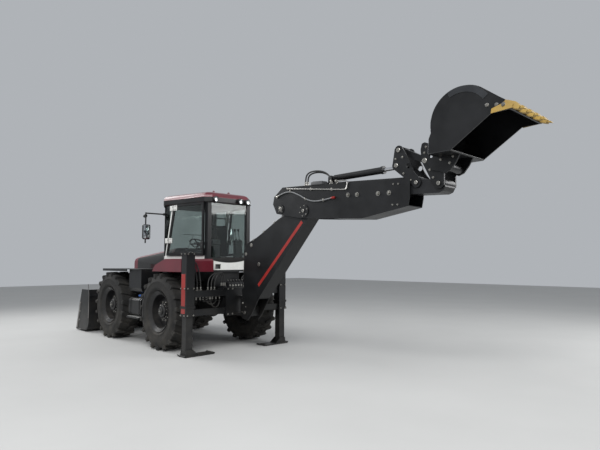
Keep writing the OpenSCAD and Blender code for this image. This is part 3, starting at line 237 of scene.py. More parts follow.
finishes = {
    "black_paint": makeFinish(
        "blackPaint", (0.0075, 0.008, 0.009), (0.004, 0.0042, 0.0046), (0.3, 0.48), coat=0.12, coatRough=0.22,
        grain=240.0, depth=0.0003, edgeColor=(0.05, 0.048, 0.045), dust=0.13, dustHeight=1.1, specular=0.32),
    "dark_paint": makeFinish(
        "darkPaint", (0.012, 0.0125, 0.014), (0.007, 0.007, 0.008), (0.34, 0.5), coat=0.12, coatRough=0.25,
        edgeColor=(0.07, 0.068, 0.065), dust=0.16, specular=0.35),
    "maroon_paint": makeFinish(
        "maroonPaint", (0.135, 0.011, 0.022), (0.095, 0.008, 0.015), (0.26, 0.38), coat=0.3, coatRough=0.2,
        grain=420.0, depth=0.0001, edgeColor=(0.22, 0.05, 0.055), edgeAmount=0.25, dust=0.14, dustHeight=1.6),
    "white_paint": makeFinish(
        "whitePaint", (0.72, 0.72, 0.69), (0.64, 0.64, 0.61), (0.2, 0.34), coat=0.4,
        depth=0.0001, edgeColor=(0.4, 0.39, 0.37), edgeAmount=0.2, dust=0.2, dustHeight=2.0),
    "yellow_paint": makeFinish(
        "yellowPaint", (0.42, 0.27, 0.045), (0.3, 0.185, 0.03), (0.4, 0.6),
        edgeColor=(0.14, 0.115, 0.085), edgeAmount=0.9, dust=0.35, dustHeight=9.0),
    "cast_iron": makeFinish(
        "castIron", (0.03, 0.03, 0.031), (0.018, 0.018, 0.018), (0.55, 0.75), metallic=0.4,
        grain=120.0, depth=0.0012, dust=0.35, dustHeight=1.6),
    "bright_rod": makeFinish(
        "brightRod", (0.72, 0.73, 0.75), (0.6, 0.61, 0.63), (0.08, 0.2), metallic=1.0,
        grain=60.0, depth=0.0, dust=0.05),
    "tyre_rubber": makeFinish(
        "tyreRubber", (0.0125, 0.0125, 0.0125), (0.0075, 0.0075, 0.0075), (0.6, 0.8), grain=160.0, depth=0.0008,
        edgeColor=(0.035, 0.034, 0.032), edgeWidth=0.006, dust=0.24, dustHeight=1.5, specular=0.35),
    "black_plastic": makeFinish(
        "blackPlastic", (0.014, 0.014, 0.015), (0.01, 0.01, 0.01), (0.42, 0.58),
        grain=700.0, depth=0.0003, dust=0.15),
    "seat_cloth": makeFinish(
        "seatCloth", (0.03, 0.031, 0.034), (0.02, 0.02, 0.022), (0.8, 0.95),
        grain=900.0, depth=0.0006, dust=0.05, specular=0.2),
    "zinc": makeFinish(
        "zincPlate", (0.42, 0.41, 0.38), (0.27, 0.26, 0.24), (0.28, 0.46), metallic=1.0,
        grain=520.0, depth=0.0002, dust=0.18, dustHeight=1.8),
    # worn steel for the shovel's cutters, also used for the painted highlight strip on its side sheets
    "wornSteelAndHighlight": makeFinish(
        "wornSteelAndHighlight", (0.34, 0.33, 0.32), (0.14, 0.13, 0.125), (0.3, 0.55), metallic=0.9,
        grain=180.0, depth=0.0007, dust=0.2),
    "brightPipe": makeFinish(
        "brightPipe", (0.62, 0.61, 0.58), (0.45, 0.44, 0.42), (0.2, 0.36), metallic=1.0, depth=0.0001, dust=0.08),
    "blackPipe": makeFinish(
        "blackPipe", (0.02, 0.021, 0.023), (0.011, 0.011, 0.012), (0.24, 0.4), coat=0.3, coatRough=0.15,
        depth=0.0002, dust=0.2),
    "stepPlate": makeFinish(
        "stepPlate", (0.5, 0.5, 0.49), (0.3, 0.3, 0.29), (0.3, 0.5), metallic=0.9, grain=260.0, dustHeight=1.0),
    "bucketPaint": makeFinish(
        "bucketPaint", (0.013, 0.0155, 0.019), (0.007, 0.008, 0.01), (0.32, 0.5), coat=0.2, coatRough=0.2,
        grain=120.0, depth=0.0006, edgeColor=(0.12, 0.115, 0.11), edgeWidth=0.006, edgeAmount=0.8),
    "redPaint": makeFinish(
        "redPaint", (0.32, 0.018, 0.012), (0.24, 0.012, 0.009), (0.28, 0.44), coat=0.2, coatRough=0.2,
        depth=0.0001, dust=0.12),
    "hoseRubber": makeFinish(
        "hoseRubber", (0.022, 0.022, 0.023), (0.012, 0.012, 0.012), (0.45, 0.62),
        grain=1100.0, dustHeight=1.5, specular=0.4),
    "greyHose": makeFinish(
        "greyHose", (0.21, 0.215, 0.22), (0.14, 0.145, 0.15), (0.42, 0.58), grain=900.0, depth=0.0003, dust=0.15),
    "sealRubber": makeFinish(
        "sealRubber", (0.012, 0.012, 0.012), (0.008, 0.008, 0.008), (0.58, 0.76),
        grain=800.0, depth=0.0003, dust=0.18, dustHeight=2.0, specular=0.35),
    "greyTrim": makeFinish(
        "greyTrim", (0.085, 0.087, 0.09), (0.06, 0.061, 0.064), (0.5, 0.66), grain=900.0, dust=0.08),
    "bluePlastic": makeFinish(
        "bluePlastic", (0.012, 0.09, 0.34), (0.008, 0.06, 0.24), (0.34, 0.48),
        grain=700.0, depth=0.0002, dust=0.15),
    "mirrorGlass": makeFinish(
        "mirrorGlass", (0.5, 0.52, 0.54), (0.44, 0.46, 0.48), (0.015, 0.06), metallic=1.0,
        grain=40.0, depth=0.0, dust=0.05),
    "reflector": makeFinish(
        "reflector", (0.82, 0.83, 0.84), (0.7, 0.71, 0.72), (0.06, 0.14), metallic=1.0,
        grain=200.0, depth=0.0002, dust=0.03),
}


# Safety glass and lamp glass: clear, with a faint uneven tint and a film of dust.
def makeGlass(name, low, high, filmScale, rough):
    material, tree, shader = newMaterial(name)
    for label, value in (("Metallic", 0.0), ("Transmission Weight", 1.0), ("IOR", 1.45)):
        shader.inputs[label].default_value = value
    place = tree.nodes.new("ShaderNodeTexCoord").outputs["Object"]
    shade = rampNode(tree, noiseNode(tree, place, 1.4, 2.0), 0.3, 0.7)
    tree.links.new(mixColor(tree, shade, (*low, 1), (*high, 1)), shader.inputs["Base Color"])
    film = noiseNode(tree, place, filmScale, 5.0, 0.7)
    tree.links.new(rampNode(tree, film, 0.35, 0.75, *rough), shader.inputs["Roughness"])
    return material


finishes["tinted_glass"] = makeGlass("tintedGlass", (0.46, 0.52, 0.5), (0.54, 0.6, 0.58), 30.0, (0.01, 0.06))
finishes["clearLens"] = makeGlass("clearLens", (0.86, 0.88, 0.88), (0.93, 0.94, 0.94), 60.0, (0.02, 0.08))
print("finishes made:", len(finishes))

for row in frame["record"]["subparts"]:
    mesh = nodes[row["node"]].data
    mesh.materials.clear()
    mesh.materials.append(finishes[row["material_slot"]])
print("nodes finished:", len(nodes))


# Modelling helpers: each one shapes a part of its own and joins it to the piece.
rearPlane = Matrix(((0, 0, -1, 0), (1, 0, 0, 0), (0, 1, 0, 0), (0, 0, 0, 1)))   # local x runs left, local y up
merged = 0.00001   # points nearer than this are one


def sideName(side):
    return "left" if side > 0 else "right"


def sidePlane(side):
    return Matrix(((1, 0, 0, 0), (0, 0, side, 0), (0, 1, 0, 0), (0, 0, 0, 1)))


def offset(x, y, z):
    return Matrix.Translation((x, y, z))


def at(x, y, z):
    return Matrix.Translation(machine(x, y, z))


# Local z points along the direction, with the origin at the point.
def facing(point, direction, turn=0.0):
    way = Vector(direction).normalized()
    spin = Matrix.Rotation(math.radians(turn), 4, "Z")
    return Matrix.Translation(point) @ way.to_track_quat("Z", "Y").to_matrix().to_4x4() @ spin


def joinPart(shape, part, place=None):
    if place is not None:
        bmesh.ops.transform(part, matrix=place, verts=part.verts)
    bmesh.ops.recalc_face_normals(part, faces=part.faces)
    mesh = bpy.data.meshes.new("part")
    part.to_mesh(mesh)
    part.free()
    shape.from_mesh(mesh)
    bpy.data.meshes.remove(mesh)


def roundEdges(part, width, segments=2, sharper=30.0):
    if width <= 0:
        return
    edges = [edge for edge in part.edges
             if len(edge.link_faces) == 2 and edge.calc_face_angle() > math.radians(sharper)]
    bmesh.ops.bevel(part, geom=edges, offset=width, offset_type="OFFSET", segments=segments, profile=0.5,
                    affect="EDGES", material=-1, clamp_overlap=True)


def addBox(shape, place, size, bevel=0.003, segments=2):
    part = bmesh.new()
    bmesh.ops.create_cube(part, size=1.0)
    bmesh.ops.scale(part, vec=size, verts=part.verts)
    roundEdges(part, bevel, segments)
    joinPart(shape, part, place)


# A box given by its low and high corners in machine metres.
def addBlock(shape, low, high, bevel=0.003, segments=2):
    size = [b - a for a, b in zip(low, high)]
    addBox(shape, at(*[(a + b) / 2 for a, b in zip(low, high)]), size, bevel, segments)


def addRod(shape, start, end, radius, sides=20, bevel=0.0):
    start, end = Vector(start), Vector(end)
    part = bmesh.new()
    length = (end - start).length
    bmesh.ops.create_cone(part, cap_ends=True, segments=sides, radius1=radius, radius2=radius, depth=length)
    bmesh.ops.translate(part, vec=(0, 0, length / 2), verts=part.verts)
    roundEdges(part, bevel, 2, 50.0)
    joinPart(shape, part, facing(start, end - start))


# A profile of (radius, height) pairs turned round the local z: a ring where closed, else a solid.
def addSpin(shape, place, outline, steps=40, closed=True):
    part = bmesh.new()
    points = [part.verts.new((r, 0, h)) for r, h in outline]
    ring = points + points[:1] if closed else points
    edges = [part.edges.new(pair) for pair in zip(ring, ring[1:])]
    bmesh.ops.spin(part, geom=points + edges, cent=(0, 0, 0), axis=(0, 0, 1), dvec=(0, 0, 0),
                   angle=2 * math.pi, steps=steps, use_merge=True)
    bmesh.ops.remove_doubles(part, verts=part.verts, dist=merged)
    joinPart(shape, part, place)


def addCap(shape, place, outline, steps=20):
    addSpin(shape, place, outline, steps, closed=False)


# A flat plate: outline in local x and y, thickness along local z.
def addPlate(shape, place, outline, thickness, bevel=0.002, segments=2):
    part = bmesh.new()
    face = part.faces.new([part.verts.new((x, y, 0)) for x, y in outline])
    grown = bmesh.ops.extrude_face_region(part, geom=[face])
    raised = [item for item in grown["geom"] if isinstance(item, bmesh.types.BMVert)]
    bmesh.ops.translate(part, vec=(0, 0, thickness), verts=raised)
    bmesh.ops.recalc_face_normals(part, faces=part.faces)
    roundEdges(part, bevel, segments, 40.0)
    joinPart(shape, part, place)


def addHex(shape, place, across, height):
    part = bmesh.new()
    radius = across * 0.577
    bmesh.ops.create_cone(part, cap_ends=True, segments=6, radius1=radius, radius2=radius, depth=height)
    bmesh.ops.translate(part, vec=(0, 0, height / 2), verts=part.verts)
    top = [edge for edge in part.edges if all(vertex.co.z > height * 0.9 for vertex in edge.verts)]
    bmesh.ops.bevel(part, geom=top, offset=across * 0.09, offset_type="OFFSET", segments=1, profile=0.5,
                    affect="EDGES", material=-1)
    joinPart(shape, part, place)


# Washer and hexagon head, standing on local z = 0.
def addScrew(shape, place, across):
    addCap(shape, place, [(0, 0), (across * 0.68, 0), (across * 0.68, across * 0.08), (0, across * 0.08)], 16)
    addHex(shape, place, across, across * 0.55)


# The same with the end of the thread standing out of it.
def addBolt(shape, place, across):
    addScrew(shape, place, across)
    addCap(shape, place, [(0, 0), (across * 0.3, 0), (across * 0.3, across * 0.7), (across * 0.24, across * 0.78),
                          (0, across * 0.78)], 12)


def addBoltRing(shape, place, count, circle, face, across, addOne, start=0.0):
    for i in range(count):
        turn = Matrix.Rotation(2 * math.pi * (i + start) / count, 4, "Z")
        addOne(shape, place @ turn @ offset(circle, 0, face), across)


def addPinHead(shape, point, side, radius):
    rim, hole = radius, radius * 0.16
    addCap(shape, facing(point, (0, side, 0)),
           [(0, 0), (rim, 0), (rim, 0.006), (rim * 0.86, 0.009), (rim * 0.45, 0.009), (rim * 0.4, 0.006),
            (hole, 0.006), (rim * 0.14, 0.014), (0, 0.014)], 28)


# A round bar or hose along a smooth route.
def addTube(shape, points, radius, sides=3, steps=5, order=4, cyclic=False):
    curve = bpy.data.curves.new("route", "CURVE")
    curve.dimensions = "3D"
    curve.bevel_depth = radius
    curve.bevel_resolution = sides
    curve.use_fill_caps = not cyclic
    spline = curve.splines.new("NURBS")
    spline.points.add(len(points) - 1)
    for knot, point in zip(spline.points, points):
        knot.co = (*point, 1)
    spline.order_u = min(order, len(points))
    spline.use_endpoint_u = not cyclic
    spline.use_cyclic_u = cyclic
    spline.resolution_u = steps
    holder = bpy.data.objects.new("route", curve)
    mesh = bpy.data.meshes.new_from_object(holder)
    bpy.data.objects.remove(holder)
    bpy.data.curves.remove(curve)
    part = bmesh.new()
    part.from_mesh(mesh)
    bpy.data.meshes.remove(mesh)
    bmesh.ops.remove_doubles(part, verts=part.verts, dist=merged)
    joinPart(shape, part)


# A crimped sleeve and a nut where a hose ends; the direction leads out of the fitting into the hose.
def addFitting(shape, point, direction, radius):
    place = facing(point, direction)
    addHex(shape, place, radius * 3.0, radius * 1.6)
    profile = [(0, 1.5), (1.15, 1.5), (1.15, 2.4), (1.4, 2.6), (1.4, 4.6), (1.15, 4.8), (0, 4.8)]
    addCap(shape, place, [(radius * r, radius * h) for r, h in profile], 16)


# A hose between two fittings: it leaves each one straight along its direction.
def addHose(rubber, metal, start, startWay, end, endWay, radius, through=()):
    start, end = Vector(start), Vector(end)
    startWay, endWay = Vector(startWay).normalized(), Vector(endWay).normalized()
    addFitting(metal, start, startWay, radius)
    addFitting(metal, end, endWay, radius)
    points = [start + startWay * radius * 2, start + startWay * radius * 9]
    points += [Vector(point) for point in through]
    points += [end + endWay * radius * 9, end + endWay * radius * 2]
    addTube(rubber, points, radius)


# The corners of a closed route, each with a point close before and after it.
def tightCorners(corners, spread):
    route = []
    for index, corner in enumerate(corners):
        before, after = corners[index - 1], corners[(index + 1) % len(corners)]
        for other in (before, corner, after):
            length = max(math.dist(corner, other), 1e-6)
            route.append([c + (o - c) * spread / length for c, o in zip(corner, other)])
    return route


def finishPiece(name, shape, finish, body):
    mesh = bpy.data.meshes.new(name)
    shape.to_mesh(mesh)
    shape.free()
    mesh.materials.append(finishes[finish])
    for polygon in mesh.polygons:
        polygon.use_smooth = True
    mesh.set_sharp_from_angle(angle=math.radians(32.0))
    piece = bpy.data.objects.new(name, mesh)
    bpy.context.scene.collection.objects.link(piece)
    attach(piece, body)


# A thin skin over part of a CAD node: its faces that pass the test, cut by planes and grown outwards.
def copySkin(shape, nodeName, keepFace, cuts, thickness):
    part = bmesh.new()
    part.from_mesh(nodes[nodeName].data)
    for point, normal in cuts:
        bmesh.ops.bisect_plane(part, geom=part.verts[:] + part.edges[:] + part.faces[:], dist=merged,
                               plane_co=point, plane_no=normal, clear_outer=True)
    bmesh.ops.delete(part, geom=[face for face in part.faces if not keepFace(face)], context="FACES")
    bmesh.ops.remove_doubles(part, verts=part.verts, dist=0.0002)
    outer, inner = {}, {}
    skin = bmesh.new()
    for vertex in part.verts:
        normals = [face.normal for face in vertex.link_faces]
        move = Vector((0, 0, 0))
        if normals:
            mean = sum(normals, move).normalized()
            move = mean / max(min(mean.dot(normal) for normal in normals), 0.5)
        outer[vertex] = skin.verts.new(vertex.co + move * thickness)
        inner[vertex] = skin.verts.new(vertex.co)
    for face in part.faces:
        skin.faces.new([outer[vertex] for vertex in face.verts])
        skin.faces.new([inner[vertex] for vertex in reversed(face.verts)])
    for edge in part.edges:
        if len(edge.link_faces) == 1:
            a, b = edge.verts
            skin.faces.new((outer[b], outer[a], inner[a], inner[b]))
    part.free()
    joinPart(shape, skin)


# Points on the boom and the dipper: u millimetres along from the pivot, v across, y in metres to the left.
def boomPoint(u, y, v):
    return boomFrame @ Vector((-u / 1000, y, v / 1000))


def dipperPoint(u, y, v):
    return dipperFrame @ Vector((-u / 1000, y, v / 1000))


def boomSide(side, u, out, v):
    return facing(boomPoint(u, side * out, v), (0, side, 0))


def dipperSide(side, u, out, v):
    return facing(dipperPoint(u, side * out, v), (0, side, 0))


def dipperAt(u, y, v):
    return dipperFrame @ offset(-u / 1000, y, v / 1000)


# A point on a side wall of the cab, in the door's own lines: along it, out from it and up.
wallTurn = math.radians(10.62)
doorHinge = (0.48, 0.736)   # foot of the door's hinge line
hingeFoot = 1.755           # its height
hingeLean = 0.198           # how far it leans back for each metre up


def wallPoint(side, along, out, z):
    x = doorHinge[0] + along * math.cos(wallTurn) - out * math.sin(wallTurn)
    y = doorHinge[1] + along * math.sin(wallTurn) + out * math.cos(wallTurn)
    return machine(x, side * y, z)


def wallOut(side):
    return Vector((-math.sin(wallTurn), side * math.cos(wallTurn), 0))


# The wall's own plane: local x runs along it, y up and z out of it.
def wallPlane(side):
    foot = wallPoint(side, 0, 0, 0)
    along = wallPoint(side, 1, 0, 0) - foot
    return Matrix.Translation(foot) @ Matrix((along, (0, 0, 1), wallOut(side))).transposed().to_4x4()


print("helpers ready")


# Wheels: nuts, hub bolts, valve and the fine ribs on the sidewalls
wheelSize = {
    "nuts": (10, 0.172, 0.0555, 0.032),         # count, circle, face, across flats
    "coverBolts": (12, 0.135, 0.0855, 0.017),
    "capBolts": (3, 0.042, 0.1575, 0.014),
    "plugAcross": 0.03,
    "valveFoot": (0.285, 0.02),                 # out from the axle, along it
    "valveTip": (0.272, 0.075),
    "valveRadius": 0.0055,
    "valveCap": 0.0075,
    "ribs": (0.437, 0.449, 0.548),
    "ribHeight": 0.0035,
    "sidewall": 0.2155,                         # half width of the tyre where the ribs start
    "sidewallStart": 0.425,
    "sidewallSlope": 0.029,
}


def dressWheel(corner, side, size):
    tail = "%s_%s" % (corner, side)
    body = "wheel_" + tail
    middle = jointPoint(body)
    outward = facing(middle, (0, 1 if side == "left" else -1, 0))
    nuts = bmesh.new()
    addBoltRing(nuts, outward, *size["nuts"], addBolt)
    addBoltRing(nuts, outward, *size["coverBolts"], addScrew, 0.5)
    addBoltRing(nuts, outward, *size["capBolts"], addScrew)
    addScrew(nuts, outward @ offset(0, 0, size["capBolts"][2]), size["plugAcross"])
    finishPiece("wheelNuts_" + tail, nuts, "zinc", body)
    valve = bmesh.new()
    foot, tip = [outward @ Vector((out, 0, along)) for out, along in (size["valveFoot"], size["valveTip"])]
    way = (tip - foot).normalized()
    addRod(valve, foot, tip, size["valveRadius"], 12)
    addRod(valve, tip - way * 0.012, tip + way * 0.006, size["valveCap"], 12, 0.001)
    finishPiece("valve_" + tail, valve, "black_plastic", body)
    ribs = bmesh.new()
    for face in (1, -1):
        place = facing(middle, (0, face, 0))
        for radius in size["ribs"]:
            level = size["sidewall"] + (radius - size["sidewallStart"]) * size["sidewallSlope"]
            low, high = level - 0.002, level + size["ribHeight"]
            addSpin(ribs, place, [(radius - 0.004, low), (radius - 0.0022, high), (radius + 0.0022, high),
                                  (radius + 0.004, low)], 72)
    finishPiece("sidewallRibs_" + tail, ribs, "tyre_rubber", body)


for cornerName in ("front", "rear"):
    for wheelSide in ("left", "right"):
        dressWheel(cornerName, wheelSide, wheelSize)
print("wheels dressed")


# Doors: seals round the panes, handles
doorSize = {
    "length": 1.065,
    "low": 1.76,
    "high": 2.77,
    "lean": 0.2,
    "gap": 0.014,
    "rim": 0.045,
    "sealRadius": 0.0065,
    "sealOut": 0.0075,
    "handle": (-1.044, 1.95),   # along the door, height
    "handleOut": 0.017,
    "handlePlate": (0.034, 0.15, 0.012),
    "handleGrip": (0.02, 0.14, 0.013),
    "gripPost": (0.045, 0.01),      # place along the handle, radius
    "gripOut": 0.042,
    "lockDrop": 0.055,
}


def dressDoor(side, size):
    name = sideName(side)
    seal = bmesh.new()
    rim = size["rim"]
    back, front = -size["length"] + rim, -size["gap"]
    low, high = size["low"] + rim, size["high"] - rim
    corners = [(back, low), (front - rim, low), (front - size["lean"] - rim, high), (back, high)]
    for out in (size["sealOut"], -size["sealOut"]):
        route = [wallPoint(side, along, out, z) for along, z in tightCorners(corners, 0.03)]
        addTube(seal, route, size["sealRadius"], 2, 4, 3, cyclic=True)
    finishPiece("doorSeal_" + name, seal, "sealRubber", "door_" + name)
    handle = bmesh.new()
    along, height = size["handle"]
    turned = facing(wallPoint(side, along, size["handleOut"], height), wallOut(side))
    face = size["handlePlate"][2]
    addBox(handle, turned @ offset(0, 0, face / 2), size["handlePlate"], 0.004, 3)
    post, postRadius = size["gripPost"]
    addRod(handle, turned @ Vector((0, post, 0.008)), turned @ Vector((0, post, 0.04)), postRadius, 16, 0.001)
    addBox(handle, turned @ offset(0, -0.01, size["gripOut"]), size["handleGrip"], 0.005, 3)
    addCap(handle, turned @ offset(0, -size["lockDrop"], face),
           [(0, 0), (0.011, 0), (0.011, 0.004), (0.004, 0.006), (0, 0.006)])
    finishPiece("doorHandle_" + name, handle, "black_plastic", "door_" + name)


for doorSide in (1, -1):
    dressDoor(doorSide, doorSize)


# White hinge leaves: one on the post and one on the door, a gap apart
hingeSize = {
    "heights": (2.055, 2.7),
    "postGap": 0.008,       # from the hinge line to each leaf
    "doorGap": 0.022,
    "postLeaf": 0.085,
    "doorLeaf": 0.105,
    "postOut": -0.0015,
    "doorOut": 0.0095,
    "half": 0.05,
    "thickness": 0.012,
    "boltSteps": (0.032, 0.076),
    "boltRise": 0.028,
    "boltAcross": 0.014,
}


def addLeaf(shape, side, start, end, out, z, size):
    low, high = z - size["half"], z + size["half"]
    outline = [(start, low), (end, low), (end, high), (start, high)]
    addPlate(shape, wallPlane(side) @ offset(0, 0, out), outline, size["thickness"], 0.004, 3)


def makeHinges(size):
    boltOut = size["doorOut"] + size["thickness"] - 0.0002
    for side in (1, -1):
        name = sideName(side)
        post, leaf, bolts = bmesh.new(), bmesh.new(), bmesh.new()
        for z in size["heights"]:
            line = -(z - hingeFoot) * hingeLean
            start, end = line + size["postGap"], line - size["doorGap"]
            addLeaf(post, side, start, start + size["postLeaf"], size["postOut"], z, size)
            addLeaf(leaf, side, end - size["doorLeaf"], end, size["doorOut"], z, size)
            for step in size["boltSteps"]:
                for rise in (-size["boltRise"], size["boltRise"]):
                    point = wallPoint(side, end - step, boltOut, z + rise)
                    addScrew(bolts, facing(point, wallOut(side)), size["boltAcross"])
        finishPiece("postHinges_" + name, post, "white_paint", "chassis")
        finishPiece("doorHinges_" + name, leaf, "white_paint", "door_" + name)
        finishPiece("hingeBolts_" + name, bolts, "zinc", "door_" + name)


makeHinges(hingeSize)


# Cab trim: rear window border, window seals, drip rail, wiper, roof band and lining, floor mat
cabSize = {
    "windowHalf": 0.497,
    "windowTop": 1.712,
    "windowLow": 1.695,
    "windowSag": 0.075,         # the rear window's lower edge dips in the middle
    "windowFace": -0.64,
    "panes": ((-0.6265, 0.422, 1.712), (0.8065, 0.522, 1.757)),     # face, half width, lower edge
    "paneTop": 2.772,
    "sealRadius": 0.007,
    "railPlan": ((-0.655, -0.505), (0.563, -0.742), (0.835, -0.604),
                 (0.835, 0.604), (0.563, 0.742), (-0.655, 0.505)),
    "railHeight": 2.776,
    "railRadius": 0.012,
    "wiperPivot": (0.819, 0.1, 1.72),
    "wiperRadius": 0.0055,
    "bladePlace": (0.8195, -0.1, 2.22),
    "blade": (0.5, 0.012, 0.012),
    "wiperRoute": ((0.836, 0.1, 1.72), (0.84, 0.04, 1.9), (0.832, -0.06, 2.12), (0.824, -0.1, 2.22)),
    "bandLow": 2.7805,
    "bandHigh": 2.866,
    "liningPlan": ((-0.53, -0.41), (0.5, -0.6), (0.7, -0.5), (0.7, 0.5), (0.5, 0.6), (-0.53, 0.41)),
    "liningHeight": 2.7275,
    "matPlan": ((-0.56, -0.42), (0.5, -0.62), (0.54, -0.6), (0.54, 0.6), (0.5, 0.62), (-0.56, 0.42)),
    "matHeight": 1.4802,
    "matRibs": 9,
    "ribStart": 0.32,
    "ribStep": 0.025,
    "ribSpans": ((0.16, 0.56), (-0.56, -0.16)),
}


def dressCab(size):
    border = bmesh.new()
    half = size["windowHalf"]
    outline = [(-half, size["windowTop"])]
    for i in range(17):
        y = -half + 2 * half * i / 16
        outline.append((y, size["windowLow"] - size["windowSag"] * (1 - (y / half) ** 2)))
    outline.append((half, size["windowTop"]))
    addPlate(border, at(size["windowFace"], 0, 0) @ rearPlane, outline, 0.006, 0.002, 2)
    finishPiece("rearWindowBorder", border, "sealRubber", "chassis")
    seals = bmesh.new()
    for x, half, low in size["panes"]:
        corners = [(-half, low), (half, low), (half, size["paneTop"]), (-half, size["paneTop"])]
        addTube(seals, [machine(x, y, z) for y, z in tightCorners(corners, 0.03)], size["sealRadius"], 2, 4, 3,
                cyclic=True)
    finishPiece("windowSeals", seals, "sealRubber", "chassis")
    rail = bmesh.new()
    route = [machine(x, y, size["railHeight"]) for x, y in tightCorners(size["railPlan"], 0.05)]
    addTube(rail, route, size["railRadius"], 2, 4, 3, cyclic=True)
    finishPiece("dripRail", rail, "sealRubber", "chassis")
    wiper = bmesh.new()
    addCap(wiper, facing(machine(*size["wiperPivot"]), (1, 0, 0)),
           [(0, 0), (0.026, 0), (0.026, 0.014), (0.016, 0.022), (0, 0.022)], 24)
    addTube(wiper, [machine(*point) for point in size["wiperRoute"]], size["wiperRadius"], 2, 4)
    addBox(wiper, facing(machine(*size["bladePlace"]), (1, 0, 0)), size["blade"], 0.003, 2)
    finishPiece("frontWiper", wiper, "black_plastic", "chassis")
    # black gutter band under the roof's painted skin
    band = bmesh.new()
    copySkin(band, "cab_roof", lambda face: abs(face.normal.z) < 0.3,
             (((0, 0, size["bandHigh"]), (0, 0, 1)), ((0, 0, size["bandLow"]), (0, 0, -1))), 0.003)
    finishPiece("roofBand", band, "black_paint", "chassis")
    lining = bmesh.new()
    addPlate(lining, at(0, 0, size["liningHeight"]), size["liningPlan"], 0.05, 0.01, 3)
    finishPiece("roofLining", lining, "greyTrim", "chassis")
    mat = bmesh.new()
    addPlate(mat, at(0, 0, size["matHeight"]), size["matPlan"], 0.008, 0.003, 2)
    top = size["matHeight"] + 0.0078
    for i in range(size["matRibs"]):
        x = size["ribStart"] + i * size["ribStep"]
        for low, high in size["ribSpans"]:
            addBlock(mat, (x, low, top), (x + 0.012, high, top + 0.0025), 0.001, 1)
    finishPiece("floorMat", mat, "sealRubber", "chassis")


dressCab(cabSize)
print("cab trimmed")


# Inside the cab: lever stands, levers, arm rests, pedals and dials
cabinSize = {
    "standX": -0.545,
    "standY": 0.27,
    "standTop": 2.06,
    "standHalf": (0.045, 0.08),
    "headHalf": (0.055, 0.09),
    "headHeight": 0.1,
    "floor": 1.48,
    "levers": (-0.31, -0.23, 0.23, 0.31),
    "leverKnob": 0.024,
    "armRest": 0.3,
    "dashboard": ((0.565, -0.2, 1.87), (0.64, 0.2, 1.905)),
    "pedals": (-0.096, 0.096),
    "pedalPad": (0.06, 0.08, 0.01),
    "dials": (-0.12, -0.04, 0.04, 0.12),
    "dialX": 0.6,
}


def dressCabin(size):
    stand = bmesh.new()
    x, top = size["standX"], size["standTop"]
    neck = top - size["headHeight"]
    for y in (-size["standY"], size["standY"]):
        for (deep, wide), low, high, bevel, steps in ((size["standHalf"], size["floor"], neck, 0.012, 3),
                                                      (size["headHalf"], neck, top, 0.02, 4)):
            addBlock(stand, (x - deep, y - wide, low), (x + deep, y + wide, high), bevel, steps)
    for y in (-size["armRest"], size["armRest"]):
        addBlock(stand, (-0.2, y - 0.035, 1.99), (0.1, y + 0.035, 2.03), 0.015, 4)
        addBlock(stand, (-0.18, y - 0.02, 1.775), (-0.14, y + 0.02, 2.0), 0.006, 2)
    addBlock(stand, *size["dashboard"], 0.012, 3)
    finishPiece("leverStands", stand, "greyTrim", "chassis")
    levers = bmesh.new()
    boot = [(0, 0), (0.03, 0), (0.026, 0.012), (0.018, 0.018), (0.021, 0.028), (0.013, 0.036), (0, 0.036)]
    knob = [(0, -0.02), (0.012, -0.02), (size["leverKnob"], 0.004), (0.02, 0.026), (0.008, 0.036), (0, 0.036)]
    for y in size["levers"]:
        foot, tip = machine(x, y, top - 0.005), machine(x + 0.03, y * 0.97, top + 0.2)
        addCap(levers, facing(foot, (0, 0, 1)), boot)
        addRod(levers, foot, tip, 0.006, 12)
        addCap(levers, facing(tip, tip - foot), knob)
    for y in size["pedals"]:
        addRod(levers, machine(0.55, y, 1.49), machine(0.5, y, 1.6), 0.008, 12)
        addBox(levers, facing(machine(0.49, y, 1.61), (-0.7, 0, 0.7)), size["pedalPad"], 0.004, 2)
    finishPiece("levers", levers, "black_plastic", "chassis")
    dials = bmesh.new()
    bezel = [(0, 0), (0.028, 0), (0.028, 0.008), (0.023, 0.008), (0.022, 0.005), (0, 0.005)]
    dialHeight = size["dashboard"][1][2] - 0.0005
    for y in size["dials"]:
        addCap(dials, facing(machine(size["dialX"], y, dialHeight), (-0.2, 0, 1)), bezel, 24)
    finishPiece("dials", dials, "zinc", "chassis")


dressCabin(cabinSize)
print("cabin furnished")


# Seat: cloth over foam, filled with air pressure and sewn across
seatSize = {
    "voxelQuick": 0.011,
    "voxel": 0.006,
    "shrink": 0.012,
    "pressure": 4.0,
    "frames": 20,
    "cap": 0.02,            # the cloth may swell no further
    "channelHalf": 0.016,
    "channelPull": 0.007,
    "smooth": 0.35,
    "fill": 0.7,
}


def evaluatedMesh(piece):
    return bpy.data.meshes.new_from_object(piece.evaluated_get(bpy.context.evaluated_depsgraph_get()))


